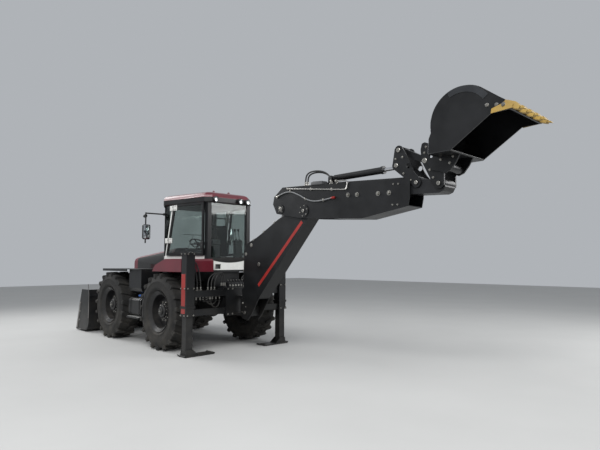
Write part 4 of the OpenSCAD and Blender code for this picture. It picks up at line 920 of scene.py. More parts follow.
def makeCushion(name, low, high, size, channels, along):
    shape = bmesh.new()
    inner = [(a + size["shrink"], b - size["shrink"]) for a, b in zip(low, high)]
    addBox(shape, at(*[(a + b) / 2 for a, b in inner]), [b - a for a, b in inner], 0.022, 4)
    mesh = bpy.data.meshes.new(name)
    shape.to_mesh(mesh)
    shape.free()
    piece = bpy.data.objects.new(name, mesh)
    bpy.context.scene.collection.objects.link(piece)
    remesh = piece.modifiers.new("remesh", "REMESH")
    remesh.mode = "VOXEL"
    remesh.voxel_size = size["voxel"]
    fine = evaluatedMesh(piece)
    piece.modifiers.clear()
    piece.data = fine
    bpy.data.meshes.remove(mesh)
    start = [vertex.co.copy() for vertex in fine.vertices]
    cloth = piece.modifiers.new("cloth", "CLOTH")
    cloth.settings.use_pressure = True
    cloth.settings.uniform_pressure_force = size["pressure"]
    cloth.settings.effector_weights.gravity = 0.0
    cloth.settings.quality = 5
    cloth.point_cache.frame_start = 1
    cloth.point_cache.frame_end = size["frames"]
    for number in range(1, size["frames"] + 1):
        bpy.context.scene.frame_set(number)
    blown = evaluatedMesh(piece)
    piece.modifiers.clear()
    piece.data = blown
    bpy.data.meshes.remove(fine)
    bpy.context.scene.frame_set(1)
    middle = machine(*[(a + b) / 2 for a, b in zip(low, high)])
    lowCorner, highCorner = machine(*low), machine(*high)
    shape = bmesh.new()
    shape.from_mesh(piece.data)
    for vertex, before in zip(shape.verts, start):
        move = vertex.co - before
        if move.length > size["cap"]:
            vertex.co = before + move * (size["cap"] / move.length)
        # sewn channels pull the cover in
        for channel in channels:
            gap = abs(vertex.co[along] - shift[along] - channel)
            if gap < size["channelHalf"]:
                pull = size["channelPull"] * (1 - gap / size["channelHalf"]) ** 2
                vertex.co += (middle - vertex.co).normalized() * pull
        for axis in range(3):
            vertex.co[axis] = min(max(vertex.co[axis], lowCorner[axis] + 0.0008), highCorner[axis] + 0.006)
    bmesh.ops.smooth_vert(shape, verts=shape.verts, factor=size["smooth"],
                          use_axis_x=True, use_axis_y=True, use_axis_z=True)
    shape.to_mesh(piece.data)
    shape.free()
    for polygon in piece.data.polygons:
        polygon.use_smooth = True
    smoother = piece.modifiers.new("smoother", "SUBSURF")
    smoother.levels = 1
    smoother.render_levels = 1
    piece.data.materials.clear()
    piece.data.materials.append(finishes["seat_cloth"])
    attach(piece, "chassis")
    return piece


cushion = makeCushion("seatCushion", (-0.14, -0.24, 1.7705), (0.35, 0.24, 1.88), seatSize, (0.02, 0.18), 0)
backRest = makeCushion("seatBack", (-0.262, -0.24, 1.7705), (-0.15, 0.24, 2.39), seatSize, (1.98, 2.14, 2.28), 2)
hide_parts("seat")
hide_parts("seat")
print("seat padded")


# Lamps and mirrors
lampSize = {
    "workLens": 0.04365,
    "workHeight": 2.825,
    "rearFace": -0.7285,
    "rearLamps": (-0.38, -0.2, 0.38),
    "frontFace": 0.9085,
    "frontLamps": (-0.46, 0.46),
    "headLens": 0.062,
    "headLamps": (-0.15, 0.15),
    "headPlace": (2.6615, 1.5),     # face, height
    "mirrorPlace": (0.725, 1.045, 2.235),
    "mirrorEdge": ((-0.07, -0.125), (-0.05, -0.142), (0.05, -0.142), (0.07, -0.125),
                   (0.07, 0.125), (0.05, 0.142), (-0.05, 0.142), (-0.07, 0.125)),
    "mirrorPole": (0.765, 1.05),
    "clampHeights": (2.13, 2.34),
    "clampRadius": (0.0142, 0.019),
    "clampHalf": 0.012,
    "bracketBolt": (0.8158, 2.56),
}


def addLamp(rim, lens, back, point, direction, radius):
    place = facing(point, direction)
    addCap(back, place, [(0, -0.0035), (radius * 0.98, -0.0035), (radius * 0.98, 0.0005), (radius * 0.5, -0.001),
                         (0, -0.002)], 32)
    addCap(lens, place, [(0, 0.0035), (radius, 0.0015), (radius, 0.0045), (radius * 0.7, 0.0085),
                         (radius * 0.35, 0.0105), (0, 0.011)], 32)
    # fluting across the lens
    for i in range(-3, 4):
        x = i * radius * 0.26
        half = math.sqrt(max(radius ** 2 - x ** 2, 0)) * 0.9
        addBox(lens, place @ offset(x, 0, 0.004), (0.0016, 2 * half * 0.9, 0.006), 0.0004, 1)
    addSpin(rim, place, [(radius * 0.97, 0.001), (radius * 1.06, 0.001), (radius * 1.06, 0.008),
                         (radius * 0.97, 0.0105)], 32)


def addLampGroup(name, body, lamps, radius):
    rim, lens, back = bmesh.new(), bmesh.new(), bmesh.new()
    for x, y, z, way in lamps:
        addLamp(rim, lens, back, machine(x, y, z), (way, 0, 0), radius)
    finishPiece(name + "Rims", rim, "black_plastic", body)
    finishPiece(name + "Lenses", lens, "clearLens", body)
    finishPiece(name + "Reflectors", back, "reflector", body)


def makeLamps(size):
    height = size["workHeight"]
    work = [(size["rearFace"], y, height, -1) for y in size["rearLamps"]]
    work += [(size["frontFace"], y, height, 1) for y in size["frontLamps"]]
    addLampGroup("workLamp", "chassis", work, size["workLens"])
    x, height = size["headPlace"]
    addLampGroup("headLamp", "hood", [(x, y, height, 1) for y in size["headLamps"]], size["headLens"])
    for side in (1, -1):
        name = sideName(side)
        face = bmesh.new()
        x, y, z = size["mirrorPlace"]
        addPlate(face, at(x, side * y, z) @ rearPlane, size["mirrorEdge"], 0.0035, 0.001, 2)
        finishPiece("mirrorGlass_" + name, face, "mirrorGlass", "chassis")
        clamp = bmesh.new()
        x, y = size["mirrorPole"]
        (inner, outer), half = size["clampRadius"], size["clampHalf"]
        for z in size["clampHeights"]:
            addSpin(clamp, facing(machine(x, side * y, z), (0, 0, 1)),
                    [(inner, -half), (outer, -half), (outer, half), (inner, half)], 20)
        x, z = size["bracketBolt"]
        addScrew(clamp, facing(machine(x, side * y, z), (1, 0, 0)), 0.017)
        finishPiece("mirrorClamps_" + name, clamp, "zinc", "chassis")


makeLamps(lampSize)
print("lamps and mirrors made")


# Stabilisers: painted stripe, bolts on the collars, feed hoses, foot pins
legSize = {
    "x": -0.912,
    "y": 1.073,
    "stripeLow": 0.735,
    "stripeHigh": 1.42,
    "stripeHalf": 0.0635,
    "stripeShift": 0.0125,
    "stripeFace": 1.157,
    "collars": (0.705, 1.17, 1.77),
    "collarSpread": (0.058, 0.06),      # bolts from the leg's middle, on the outer face and on the others
    "collarAcross": 0.022,
    "collarOut": 1.169,
    "collarRear": -1.008,
    "collarFront": -0.816,
    "top": 1.79,
    "hoseX": -0.86,
    "hoseWall": 0.975,
    "hoseRadius": 0.011,
    # start height, foot, and the route between them as (y, z)
    "hoses": ((1.62, 0.78, ((0.88, 1.6), (0.81, 1.46), (0.785, 1.28))),
              (1.5, 0.85, ((0.91, 1.485), (0.87, 1.4), (0.852, 1.27)))),
    "beamTop": 1.126,
    "port": (0.045, 0.016),             # side and thickness of the block under each fitting
    "footHeight": 0.08,
    "footReach": 0.078,
}


def dressLegs(size):
    bolts, rubber, metal = bmesh.new(), bmesh.new(), bmesh.new()
    hoseX = size["hoseX"]
    for side in (1, -1):
        y = side * size["y"]
        stripe = bmesh.new()
        middle, face = size["x"] + size["stripeShift"], side * size["stripeFace"]
        addBlock(stripe, (middle - size["stripeHalf"], face - 0.0006, size["stripeLow"]),
                 (middle + size["stripeHalf"], face + 0.0012, size["stripeHigh"]), 0.0004, 1)
        finishPiece("stripe_" + sideName(side), stripe, "redPaint", "chassis")
        outSpread, spread = size["collarSpread"]
        for z in size["collars"]:
            for x in (size["x"] - outSpread, size["x"] + outSpread):
                addBolt(bolts, facing(machine(x, side * size["collarOut"], z), (0, side, 0)), size["collarAcross"])
            for along in (-spread, spread):
                for x, way in ((size["collarRear"], -1), (size["collarFront"], 1)):
                    addBolt(bolts, facing(machine(x, y + along, z), (way, 0, 0)), size["collarAcross"])
        for x in (size["x"] - 0.05, size["x"] + 0.05):
            addScrew(bolts, facing(machine(x, y - side * 0.05, size["top"]), (0, 0, 1)), 0.024)
        # feed hoses from the beam to the tube's inner face, ahead of the carriage's hooks
        port, thick = size["port"]
        for high, foot, route in size["hoses"]:
            addHose(rubber, metal, machine(hoseX, side * size["hoseWall"], high), (0, -side, 0),
                    machine(hoseX, side * foot, size["beamTop"] + 0.006), (0, 0, 1), size["hoseRadius"],
                    [machine(hoseX, side * out, z) for out, z in route])
            addBox(metal, at(hoseX, side * (size["hoseWall"] + 0.007), high), (port, thick, port), 0.004, 2)
            addBox(metal, at(hoseX, side * foot, size["beamTop"]), (port, port, thick), 0.004, 2)
    finishPiece("collarBolts", bolts, "zinc", "chassis")
    finishPiece("legHoses", rubber, "hoseRubber", "chassis")
    finishPiece("legHoseFittings", metal, "zinc", "chassis")
    for side in (1, -1):
        pins = bmesh.new()
        for way in (-1, 1):
            point = machine(size["x"] + way * size["footReach"], side * size["y"], size["footHeight"])
            addCap(pins, facing(point, (way, 0, 0)), [(0, 0), (0.02, 0), (0.02, 0.006), (0.012, 0.009), (0, 0.009)])
        finishPiece("footPins_" + sideName(side), pins, "zinc", "stabiliser_" + sideName(side))


dressLegs(legSize)
print("stabilisers dressed")


# Hoses of the control valve, in loops between the frame's beams
hoseSize = {
    "radius": 0.0115,
    "loops": 5,
    "beamUnder": 1.009,
    "loopStart": 0.36,
    "loopStep": 0.075,
    "loopSpan": 0.2,
    "loopLow": 0.82,
    "ports": 6,
    "portStart": -0.201,
    "portStep": 0.066,
    "portPlace": (-0.85, 1.19),         # x and height
    "capPlace": (-0.785, 1.284),
    "shelfTop": 1.132,
    "beamTop": 1.121,
    "shelfHoses": (0.21, 0.25, 0.29),
    "pipeHeights": (0.72, 0.76),
    "pipeX": -0.866,
    "pipeSpan": (0.34, 0.9),
    "pipeRadius": 0.007,
    "shelfBolts": (-0.86, -0.72, 0.27),     # rear x, front x, half spacing across
}


def dressValve(size):
    rubber, metal, bolts = bmesh.new(), bmesh.new(), bmesh.new()
    r = size["radius"]
    for i in range(size["ports"]):
        y = size["portStart"] + i * size["portStep"]
        portX, portZ = size["portPlace"]
        capX, capZ = size["capPlace"]
        addHex(metal, facing(machine(portX, y, portZ), (-1, 0, 0)), 0.034, 0.012)
        addScrew(bolts, facing(machine(capX, y, capZ), (0, 0, 1)), 0.018)
    for side in (1, -1):
        for i in range(size["loops"]):
            drop = size["loopLow"] + 0.055 * i
            y = size["loopStart"] + size["loopStep"] * i
            x = -0.845 + 0.006 * (i % 3)
            addHose(rubber, metal, machine(x, side * y, size["beamUnder"]), (0, 0, -1),
                    machine(x - 0.004, side * (y + size["loopSpan"]), size["beamUnder"]), (0, 0, -1), r,
                    [machine(x - back, side * (y + out), drop + rise)
                     for back, out, rise in ((0.012, 0.02, 0.02), (0.016, 0.1, -0.035), (0.012, 0.18, 0.02))])
    # from the valve's end ports over the shelf and down to the beam
    for i, y in enumerate(size["shelfHoses"]):
        x, out = -0.81 - 0.012 * i, 0.45 + 0.08 * i
        addHose(rubber, metal, machine(-0.8, y, 1.19), (0, 0, 1), machine(x, out, size["beamTop"]), (0, 0, 1), r,
                [machine(-0.8, y + 0.03, 1.42 - 0.02 * i), machine(-0.82, y + 0.12, 1.45),
                 machine(-0.82, out - 0.02, 1.36)])
        addHose(rubber, metal, machine(-0.72, -y, size["shelfTop"]), (0, 0, 1),
                machine(x, -out, size["beamTop"]), (0, 0, 1), r,
                [machine(-0.73, -y - 0.03, 1.36), machine(-0.78, -y - 0.12, 1.4),
                 machine(-0.82, -out + 0.02, 1.32)])
    for side in (1, -1):
        for z in size["pipeHeights"]:
            route = [machine(size["pipeX"], side * y, z) for y in size["pipeSpan"]]
            addTube(metal, route, size["pipeRadius"], 2, 3, 2)
    *boltX, half = size["shelfBolts"]
    for y in (-half, half):
        for x in boltX:
            addBolt(bolts, facing(machine(x, y, size["shelfTop"]), (0, 0, 1)), 0.02)
    finishPiece("valveHoses", rubber, "hoseRubber", "chassis")
    finishPiece("valveFittings", metal, "zinc", "chassis")
    finishPiece("valveBolts", bolts, "zinc", "chassis")


dressValve(hoseSize)


# The carriage: clamp bolts, bearing bolts and grease cap on the swing axis
carriageSize = {
    "face": -0.9773,
    "boltRow": (-0.26, -0.16, 0.16, 0.26),
    "boltHeights": (0.675, 1.135),
    "swingX": -1.14,
    "lugTops": (0.69, 1.01),
    "ring": 0.06,
}


def dressCarriage(size):
    bolts = bmesh.new()
    for y in size["boltRow"]:
        for z in size["boltHeights"]:
            addScrew(bolts, facing(machine(size["face"], y, z), (-1, 0, 0)), 0.024)
    for z in size["lugTops"]:
        for turn in (60, 180, 300):
            way = Vector((math.cos(math.radians(turn)), math.sin(math.radians(turn)), 0))
            addScrew(bolts, facing(machine(size["swingX"], 0, z) + way * size["ring"], (0, 0, 1)), 0.014)
    addCap(bolts, facing(machine(size["swingX"], 0, size["lugTops"][1] - 0.001), (0, 0, 1)),
           [(0, 0), (0.036, 0), (0.036, 0.006), (0.03, 0.01), (0, 0.01)], 28)
    finishPiece("carriageBolts", bolts, "zinc", "shift_carriage")


dressCarriage(carriageSize)
print("valve and carriage dressed")


# Boom: the painted stripe, pin heads, pipes on the back edge (u, v in millimetres along and across the boom)
boomSize = {
    "stripeStart": (613, 60),
    "stripeEnd": (2150, -50),
    "stripeWidth": 55,
    "face": 0.1298,
    "footFace": 0.145,
    "pins": ((790, 700, 0.03), (1010, 690, 0.036), (900, 300, 0.034), (0, 0, 0.03), (70, 165, 0.02)),
    "bolts": ((85, 60), (-60, 70)),
    "pipes": (0.085, 0.108),
    "pipeRadius": 0.0085,
    # along the back edge from the foot to the knuckle
    "pipeRoute": ((330, 372), (420, 466), (620, 642), (800, 800), (900, 808), (955, 802), (1180, 670),
                  (1500, 545), (1860, 416), (1960, 352)),
    "pipeRise": 12,
    "clamps": ((500, 536, 41), (700, 702, 41), (1100, 713, -30), (1400, 588, -20), (1700, 473, -20)),
    "hoseRadius": 0.0115,
    "hoseRoute": ((340, 396), (280, 365), (205, 270)),
}


def dressBoom(size):
    for side in (1, -1):
        stripe = bmesh.new()
        (u0, v0), (u1, v1) = size["stripeStart"], size["stripeEnd"]
        half = size["stripeWidth"] / 2 / math.hypot(u1 - u0, v1 - v0)
        du, dv = -(v1 - v0) * half, (u1 - u0) * half
        corners = [(u0 + du, v0 + dv), (u1 + du, v1 + dv), (u1 - du, v1 - dv), (u0 - du, v0 - dv)]
        addPlate(stripe, boomFrame @ offset(0, side * (size["face"] - 0.0004), 0) @ sidePlane(side),
                 [(-u / 1000, v / 1000) for u, v in corners], 0.0018, 0.0004, 1)
        finishPiece("boomStripe_" + sideName(side), stripe, "redPaint", "boom")
    bolts = bmesh.new()
    for side in (1, -1):
        for u, v, radius in size["pins"]:
            level = size["footFace"] if u == 0 else size["face"]
            addPinHead(bolts, boomPoint(u, side * level, v), side, radius)
        for u, v in size["bolts"]:
            addScrew(bolts, boomSide(side, u, size["face"], v), 0.02)
    finishPiece("boomPins", bolts, "zinc", "boom")
    pipes, clamps = bmesh.new(), bmesh.new()
    rise = size["pipeRise"]
    for y in size["pipes"]:
        addTube(pipes, [boomPoint(u, y, v + rise) for u, v in size["pipeRoute"]], size["pipeRadius"], 3, 5, 3)
    for u, v, tilt in size["clamps"]:
        turn = Matrix.Rotation(math.radians(tilt), 4, "Y")
        place = boomFrame @ offset(-u / 1000, sum(size["pipes"]) / 2, (v + rise) / 1000) @ turn
        addBox(clamps, place, (0.04, 0.055, 0.03), 0.005, 2)
        addScrew(clamps, place @ offset(0, 0, 0.015), 0.014)
    finishPiece("boomPipes", pipes, "blackPipe", "boom")
    finishPiece("boomPipeClamps", clamps, "zinc", "boom")
    rubber, metal = bmesh.new(), bmesh.new()
    start, middle, end = size["hoseRoute"]
    for y in size["pipes"]:
        addHose(rubber, metal, boomPoint(start[0], y, start[1]), (0.3, 0, -1),
                boomPoint(end[0], y - 0.012, end[1]), (-0.1, 0, 1), size["hoseRadius"],
                [boomPoint(middle[0], y, middle[1])])
    finishPiece("boomFootHoses", rubber, "hoseRubber", "boom")
    finishPiece("boomFootFittings", metal, "zinc", "boom")


dressBoom(boomSize)


# Dipper: pin heads, side bolts, steel pipe, hose loop, terminal block (u, v in millimetres, as on the boom)
dipperSize = {
    "side": 0.17,
    "boltRow": ((920, 222), (1091, 222), (1468, 222), (1655, 225)),
    "knuckleFace": 0.1898,
    "ramPin": (-553, 33),
    "ramFace": 0.1798,
    "collarBolts": ((1720, 60), (1720, 340), (1800, 60), (1800, 340)),
    "loop": ((0, 412), (-30, 500), (10, 590), (180, 622), (380, 600), (500, 520), (520, 412)),
    "loopPlaces": ((0.10, 0), (0.135, 18)),     # y, growth of the outer loop
    "sideHose": ((-640, 250), (-520, 300), (-325, 325), (-120, 262), (38, 189), (180, 150), (300, 146),
                 (440, 160), (560, 180), (600, 186)),
    "sideRadius": 0.0105,
    "hoseEnd": (-655, 243),
    "cap": ((596, 186), (640, 191), (668, 194)),    # start, ring and end
    "capRadius": 0.0165,
    "clips": ((-325, 325, 0), (38, 189, 40), (440, 160, 0)),
    # turns up over the edge and back
    "pipe": ((-376, 368), (-200, 360), (300, 334), (700, 313), (850, 306), (895, 318), (905, 362), (903, 400),
             (890, 430), (850, 440), (800, 441), (712, 440)),
    "edge": 405,
    "pipeRadius": 0.0105,
    "pipeClips": ((150, 342), (600, 318)),
    # place and size of the terminal block and its lid
    "block": (((265, 0.1, 428), (0.24, 0.17, 0.045)), ((270, 0.1, 455), (0.2, 0.12, 0.02))),
    "blockBolts": ((370, 0.165, 450.5), (170, 0.165, 450.5)),
}


def addPolarBolts(shape, side, center, radius, face, across, turns):
    for turn in turns:
        angle = math.radians(turn)
        u, v = center[0] + radius * math.cos(angle), center[1] + radius * math.sin(angle)
        addScrew(shape, dipperSide(side, u, face, v), across)


def dressDipper(size):
    bolts = bmesh.new()
    for side in (1, -1):
        for u, v in size["boltRow"]:
            place = dipperSide(side, u, size["side"] - 0.0005, v)
            addCap(bolts, place, [(0, 0), (0.034, 0), (0.034, 0.005), (0, 0.005)], 24)
            addBolt(bolts, place @ offset(0, 0, 0.005), 0.036)
        addPinHead(bolts, dipperPoint(0, side * size["knuckleFace"], 0), side, 0.029)
        ramU, ramV = size["ramPin"]
        addPinHead(bolts, dipperPoint(ramU, side * size["ramFace"], ramV), side, 0.04)
        addPolarBolts(bolts, side, (0, 0), 84, size["knuckleFace"] - 0.008, 0.017, range(20, 380, 60))
        addPolarBolts(bolts, side, size["ramPin"], 57, size["ramFace"], 0.014, range(40, 400, 90))
        for u, v in size["collarBolts"]:
            addScrew(bolts, dipperSide(side, u, size["side"] - 0.0002, v), 0.02)
    finishPiece("dipperBolts", bolts, "zinc", "dipper")
    rubber, metal = bmesh.new(), bmesh.new()
    for y, grow in size["loopPlaces"]:
        points = [dipperPoint(u + (grow if u > 250 else -grow), y, v + (grow if v > 450 else 0))
                  for u, v in size["loop"]]
        addHose(rubber, metal, points[0], (0, 0, 1), points[-1], (0.05, 0, 1), 0.0125, points[2:-2])
        for end in (points[0], points[-1]):
            addBox(metal, Matrix.Translation(end - Vector((0, 0, 0.005))), (0.05, 0.034, 0.02), 0.004, 2)
    # light hose on the near side, hung from clips
    out = size["side"] + 0.014
    grey = bmesh.new()
    addTube(grey, [dipperPoint(u, out, v) for u, v in size["sideHose"]], size["sideRadius"], 3, 5, 3)
    finishPiece("sideHose", grey, "greyHose", "dipper")
    cap = bmesh.new()
    capStart, capRing, capEnd = [dipperPoint(u, out, v) for u, v in size["cap"]]
    addRod(cap, capStart, capEnd, size["capRadius"], 20, 0.003)
    addSpin(cap, facing(capRing, capEnd - capStart),
            [(0.015, -0.006), (0.021, -0.004), (0.021, 0.004), (0.015, 0.006)], 20)
    finishPiece("hoseCap", cap, "redPaint", "dipper")
    for u, v, turn in size["clips"]:
        place = facing(dipperPoint(u, size["side"] - 0.001, v), (0, 1, 0), turn)
        addBox(metal, place @ offset(0, 0, 0.013), (0.03, 0.045, 0.028), 0.006, 2)
        addScrew(metal, place @ offset(0, 0.0, 0.027), 0.012)
    u, v = size["hoseEnd"]
    hoseStart = dipperPoint(u, out, v)
    addFitting(metal, hoseStart, dipperPoint(-520, out, 300) - hoseStart, size["sideRadius"])
    addBox(metal, facing(dipperPoint(u - 5, size["side"] + 0.008, v - 3), (0, 1, 0)), (0.045, 0.045, 0.018),
           0.004, 2)
    pipe = bmesh.new()
    level = size["side"] + 0.011
    addTube(pipe, [dipperPoint(u, level if v < size["edge"] else level - 0.004, v) for u, v in size["pipe"]],
            size["pipeRadius"], 3, 5, 3)
    finishPiece("brightPipe", pipe, "brightPipe", "dipper")
    along = dipperPoint(1, 0, 0) - dipperPoint(0, 0, 0)
    for (u, v), back, drop, seat in ((size["pipe"][0], 18, 0, 20), (size["pipe"][-1], 30, 0.004, 32)):
        addFitting(metal, dipperPoint(u - back, level - drop, v), along, 0.0095)
        addBox(metal, dipperAt(u - seat, level - 0.006, v), (0.03, 0.036, 0.036), 0.004, 2)
    addBox(metal, dipperAt(685, 0.165, 420), (0.03, 0.02, 0.05), 0.003, 2)
    for u, v in size["pipeClips"]:
        addBox(metal, dipperAt(u, size["side"] + 0.009, v), (0.035, 0.022, 0.044), 0.005, 2)
    finishPiece("dipperHoses", rubber, "hoseRubber", "dipper")
    block = bmesh.new()
    for (place, extent), bevel, steps in zip(size["block"], (0.006, 0.005), (3, 2)):
        addBox(block, dipperAt(*place), extent, bevel, steps)
    for place in size["blockBolts"]:
        addScrew(block, dipperAt(*place), 0.014)
    finishPiece("terminalBlock", block, "greyTrim", "dipper")
    finishPiece("dipperFittings", metal, "zinc", "dipper")


dressDipper(dipperSize)
print("boom and dipper dressed")


# Lever, links and the bucket: pins, bolts, wear plates and weld beads, in the dipper's own u and v
bucketSize = {
    "center": (2830, 1000),
    "radius": 408,
    "wearInner": 330,
    "wearTurn": 38,         # degrees, and the arc that the wear plate covers
    "wearArc": 80,
    "side": 0.43,
    # u, v, face and width across flats or radius
    "leverBolts": ((1728, 685), (1838, 702), (1725, 585), (1866, 478), (1983, 383)),
    "leverPins": ((2070, 346, 0.16, 0.026), (1742, 596, 0.1508, 0.03), (1772, 801, 0.16, 0.03)),
    "bucketBolts": ((2179, 725, 0.1548, 0.024), (2267, 498, 0.1548, 0.024), (2320, 397, 0.1548, 0.024),
                    (2200, 800, 0.1548, 0.024), (2434, 613, 0.1788, 0.026), (2560, 560, 0.1788, 0.026),
                    (2600, 640, 0.1788, 0.026)),
    "bucketPins": ((2405, 318, 0.1698, 0.027), (2186, 623, 0.1548, 0.034)),
    "cutterBolts": ((3139, 1127, 0.4298, 0.034), (3249, 1114, 0.4298, 0.034), (3330, 1102, 0.4418, 0.034)),
    "weldRoute": ((2694, 664), (2500, 651), (2404, 644), (2407, 740), (2409, 822)),
    "weldRadius": 404,
    "lip": (3049.2, 1344.1),    # where the lip plate leaves the round back
    "lipTurn": 32.5,
    "lipLength": 405,
    "teeth": (-0.39, -0.195, 0, 0.195, 0.39),
}


def arcPoints(center, radius, startTurn, endTurn, steps):
    turns = [math.radians(startTurn + (endTurn - startTurn) * i / steps) for i in range(steps + 1)]
    return [(center[0] + radius * math.cos(turn), center[1] + radius * math.sin(turn)) for turn in turns]


def dressBucket(size):
    bolts = bmesh.new()
    for side in (1, -1):
        for u, v in size["leverBolts"]:
            addBolt(bolts, dipperSide(side, u, 0.1508, v), 0.022)
        for u, v, face, radius in size["leverPins"]:
            addPinHead(bolts, dipperPoint(u, side * face, v), side, radius)
    finishPiece("leverBolts", bolts, "zinc", "lever")
    bolts = bmesh.new()
    for side in (1, -1):
        for u, v, face, across in size["bucketBolts"]:
            addBolt(bolts, dipperSide(side, u, face, v), across)
        for u, v, face, radius in size["bucketPins"]:
            addPinHead(bolts, dipperPoint(u, side * face, v), side, radius)
        for u, v, face, across in size["cutterBolts"]:
            addBolt(bolts, dipperSide(side, u, face, v), across)
    finishPiece("bucketBolts", bolts, "zinc", "bucket")
    center, low, high = size["center"], size["wearTurn"], size["wearTurn"] + size["wearArc"]
    for side in (1, -1):
        wear = bmesh.new()
        outline = arcPoints(center, size["radius"] * 0.994, high, low, 18)
        outline += arcPoints(center, size["wearInner"], low, high, 18)
        addPlate(wear, dipperFrame @ offset(0, side * (size["side"] - 0.0004), 0) @ sidePlane(side),
                 [(-u / 1000, v / 1000) for u, v in outline], 0.007, 0.002, 1)
        finishPiece("wearPlate_" + sideName(side), wear, "bucketPaint", "bucket")
    welds = bmesh.new()
    for side in (1, -1):
        face = side * (size["side"] - 0.001)
        addTube(welds, [dipperPoint(u, face, v) for u, v in size["weldRoute"]], 0.004, 2, 5, 2)
        back = arcPoints(center, size["weldRadius"], 190, 60, 23)
        addTube(welds, [dipperPoint(u, face, v) for u, v in back], 0.0045, 2, 3, 3)
    finishPiece("bucketWelds", welds, "bucketPaint", "bucket")
    heads = bmesh.new()
    turn = math.radians(size["lipTurn"])
    u = size["lip"][0] + size["lipLength"] * math.cos(turn)
    v = size["lip"][1] - size["lipLength"] * math.sin(turn)
    normal = dipperPoint(math.sin(turn) * 1000, 0, math.cos(turn) * 1000) - dipperPoint(0, 0, 0)
    for i in range(8):
        y = -0.35 + 0.1 * i
        if min(abs(y - tooth) for tooth in size["teeth"]) > 0.047:
            addScrew(heads, facing(dipperPoint(u, y, v) - normal.normalized() * 0.0005, normal), 0.026)
    finishPiece("edgeBolts", heads, "zinc", "bucket")


dressBucket(bucketSize)
print("bucket dressed")


# Loader: pipes on the arms, pin heads, worn steel edges and a painted highlight strip on the shovel
loaderSize = {
    "armFace": 0.538,
    "pipeRoute": ((1.12, 1.5), (1.3, 1.425), (1.6, 1.37), (1.9, 1.335), (2.2, 1.3), (2.33, 1.288)),
    "pipeRadius": 0.0075,
    "pipeRise": 0.03,
    "pipeEnds": ((1.1, 1.509, (1, 0, -0.35)), (2.35, 1.286, (-1, 0, 0.1))),
    "clips": ((1.35, 1.432), (1.75, 1.37), (2.15, 1.324)),
    "endBlocks": ((1.1, 1.524), (2.35, 1.301)),
    "armPin": (1.87, 1.445),
    "towerPin": (0.96, 1.56),
    "towerFace": 0.5529,
    "shovelPin": (3.12, 0.33),
    "lugFace": 0.5779,
    "shovelSide": 1.1749,
    "tip": 3.98,
    "edgeBolts": 9,
    "edgeHalf": 1.06,
    # painted highlight: outline of the bright strip on the side sheet's rear edge
    "highlightStrip": (((3.232, 0.33), (3.232, 0.875), (3.262, 0.868), (3.262, 0.33)),
                 ((3.232, 0.875), (3.29, 1.115), (3.322, 1.115), (3.262, 0.868))),
}


def dressLoader(size):
    pipes, metal = bmesh.new(), bmesh.new()
    for side in (1, -1):
        y = side * (size["armFace"] + 0.0095)
        for lift in (0.0, size["pipeRise"]):
            addTube(pipes, [machine(x, y, z + lift) for x, z in size["pipeRoute"]], size["pipeRadius"], 2, 4, 3)
            for x, z, way in size["pipeEnds"]:
                addFitting(metal, machine(x, y, z + lift), way, size["pipeRadius"])
        for x, z in size["clips"]:
            addBox(metal, at(x, side * (size["armFace"] + 0.009), z), (0.035, 0.02, 0.07), 0.004, 2)
        for x, z in size["endBlocks"]:
            addBox(metal, at(x, side * (size["armFace"] + 0.008), z), (0.03, 0.018, 0.075), 0.004, 2)
        x, z = size["armPin"]
        addPinHead(metal, machine(x, side * (size["armFace"] - 0.0005), z), side, 0.03)
    finishPiece("armPipes", pipes, "blackPipe", "loader")
    finishPiece("armFittings", metal, "zinc", "loader")
    tower = bmesh.new()
    for side in (1, -1):
        x, z = size["towerPin"]
        addPinHead(tower, machine(x, side * size["towerFace"], z), side, 0.028)
    finishPiece("towerPins", tower, "zinc", "chassis")
    edges, bolts = bmesh.new(), bmesh.new()
    tip = size["tip"]
    cutter = [(tip - 0.196, 0.685), (tip - 0.03, 0.07), (tip - 0.11, 0.07), (tip - 0.266, 0.685)]
    for side in (1, -1):
        for i in range(3):
            point = machine(tip - 0.24 + 0.02 * i, side * (size["shovelSide"] - 0.0001), 0.66 - 0.2 * i)
            addScrew(bolts, facing(point, (0, side, 0)), 0.026)
        x, z = size["shovelPin"]
        addPinHead(bolts, machine(x, side * size["lugFace"], z), side, 0.028)
        toSide = at(0, side * size["shovelSide"], 0) @ sidePlane(side)
        addPlate(edges, toSide, cutter, 0.009, 0.002, 1)
        # painted highlight: a bright steel strip down the rear edge of the side sheet
        for outline in size["highlightStrip"]:
            addPlate(edges, toSide, outline, 0.004, 0.001, 1)
    finishPiece("shovelEdgesAndHighlight", edges, "wornSteelAndHighlight", "shovel")
    for i in range(size["edgeBolts"]):
        y = size["edgeHalf"] * (2 * i / (size["edgeBolts"] - 1) - 1)
        addCap(bolts, facing(machine(tip - 0.07, y, 0.0535), (0, 0, 1)),
               [(0, 0), (0.017, 0), (0.015, 0.004), (0, 0.005)], 16)
    finishPiece("shovelBolts", bolts, "zinc", "shovel")


dressLoader(loaderSize)


# Hood and front: latches and seams, grille mesh, black side panels, catch
hoodSize = {
    "half": 0.355,
    "low": 1.2475,
    "sealRadius": 0.006,
    "seamStart": 0.845,
    "seamEnd": 2.66,
    "latch": (1.02, 1.36),
    "latchBox": (0.06, 0.008, 0.03),
    "front": 2.6715,
    "frontSeals": ((-0.35, -0.218), (-0.182, 0.182), (0.218, 0.35)),    # gaps for the two hinge lugs
    "meshX": 2.6475,
    "meshHalf": 0.26,
    "meshStep": 0.024,
    "meshMiddle": 1.455,
    "meshHeight": 0.28,
    "wire": 0.002,
    "meshRows": 12,
    "rowStart": 1.325,
    "rowStep": 0.0235,
    "panelStart": 0.93,
    "panelEnd": 2.5,
    "panelLow": 1.285,
    "catchPlace": (0.93, 0, 1.934),
    "catchBox": (0.07, 0.05, 0.012),
}


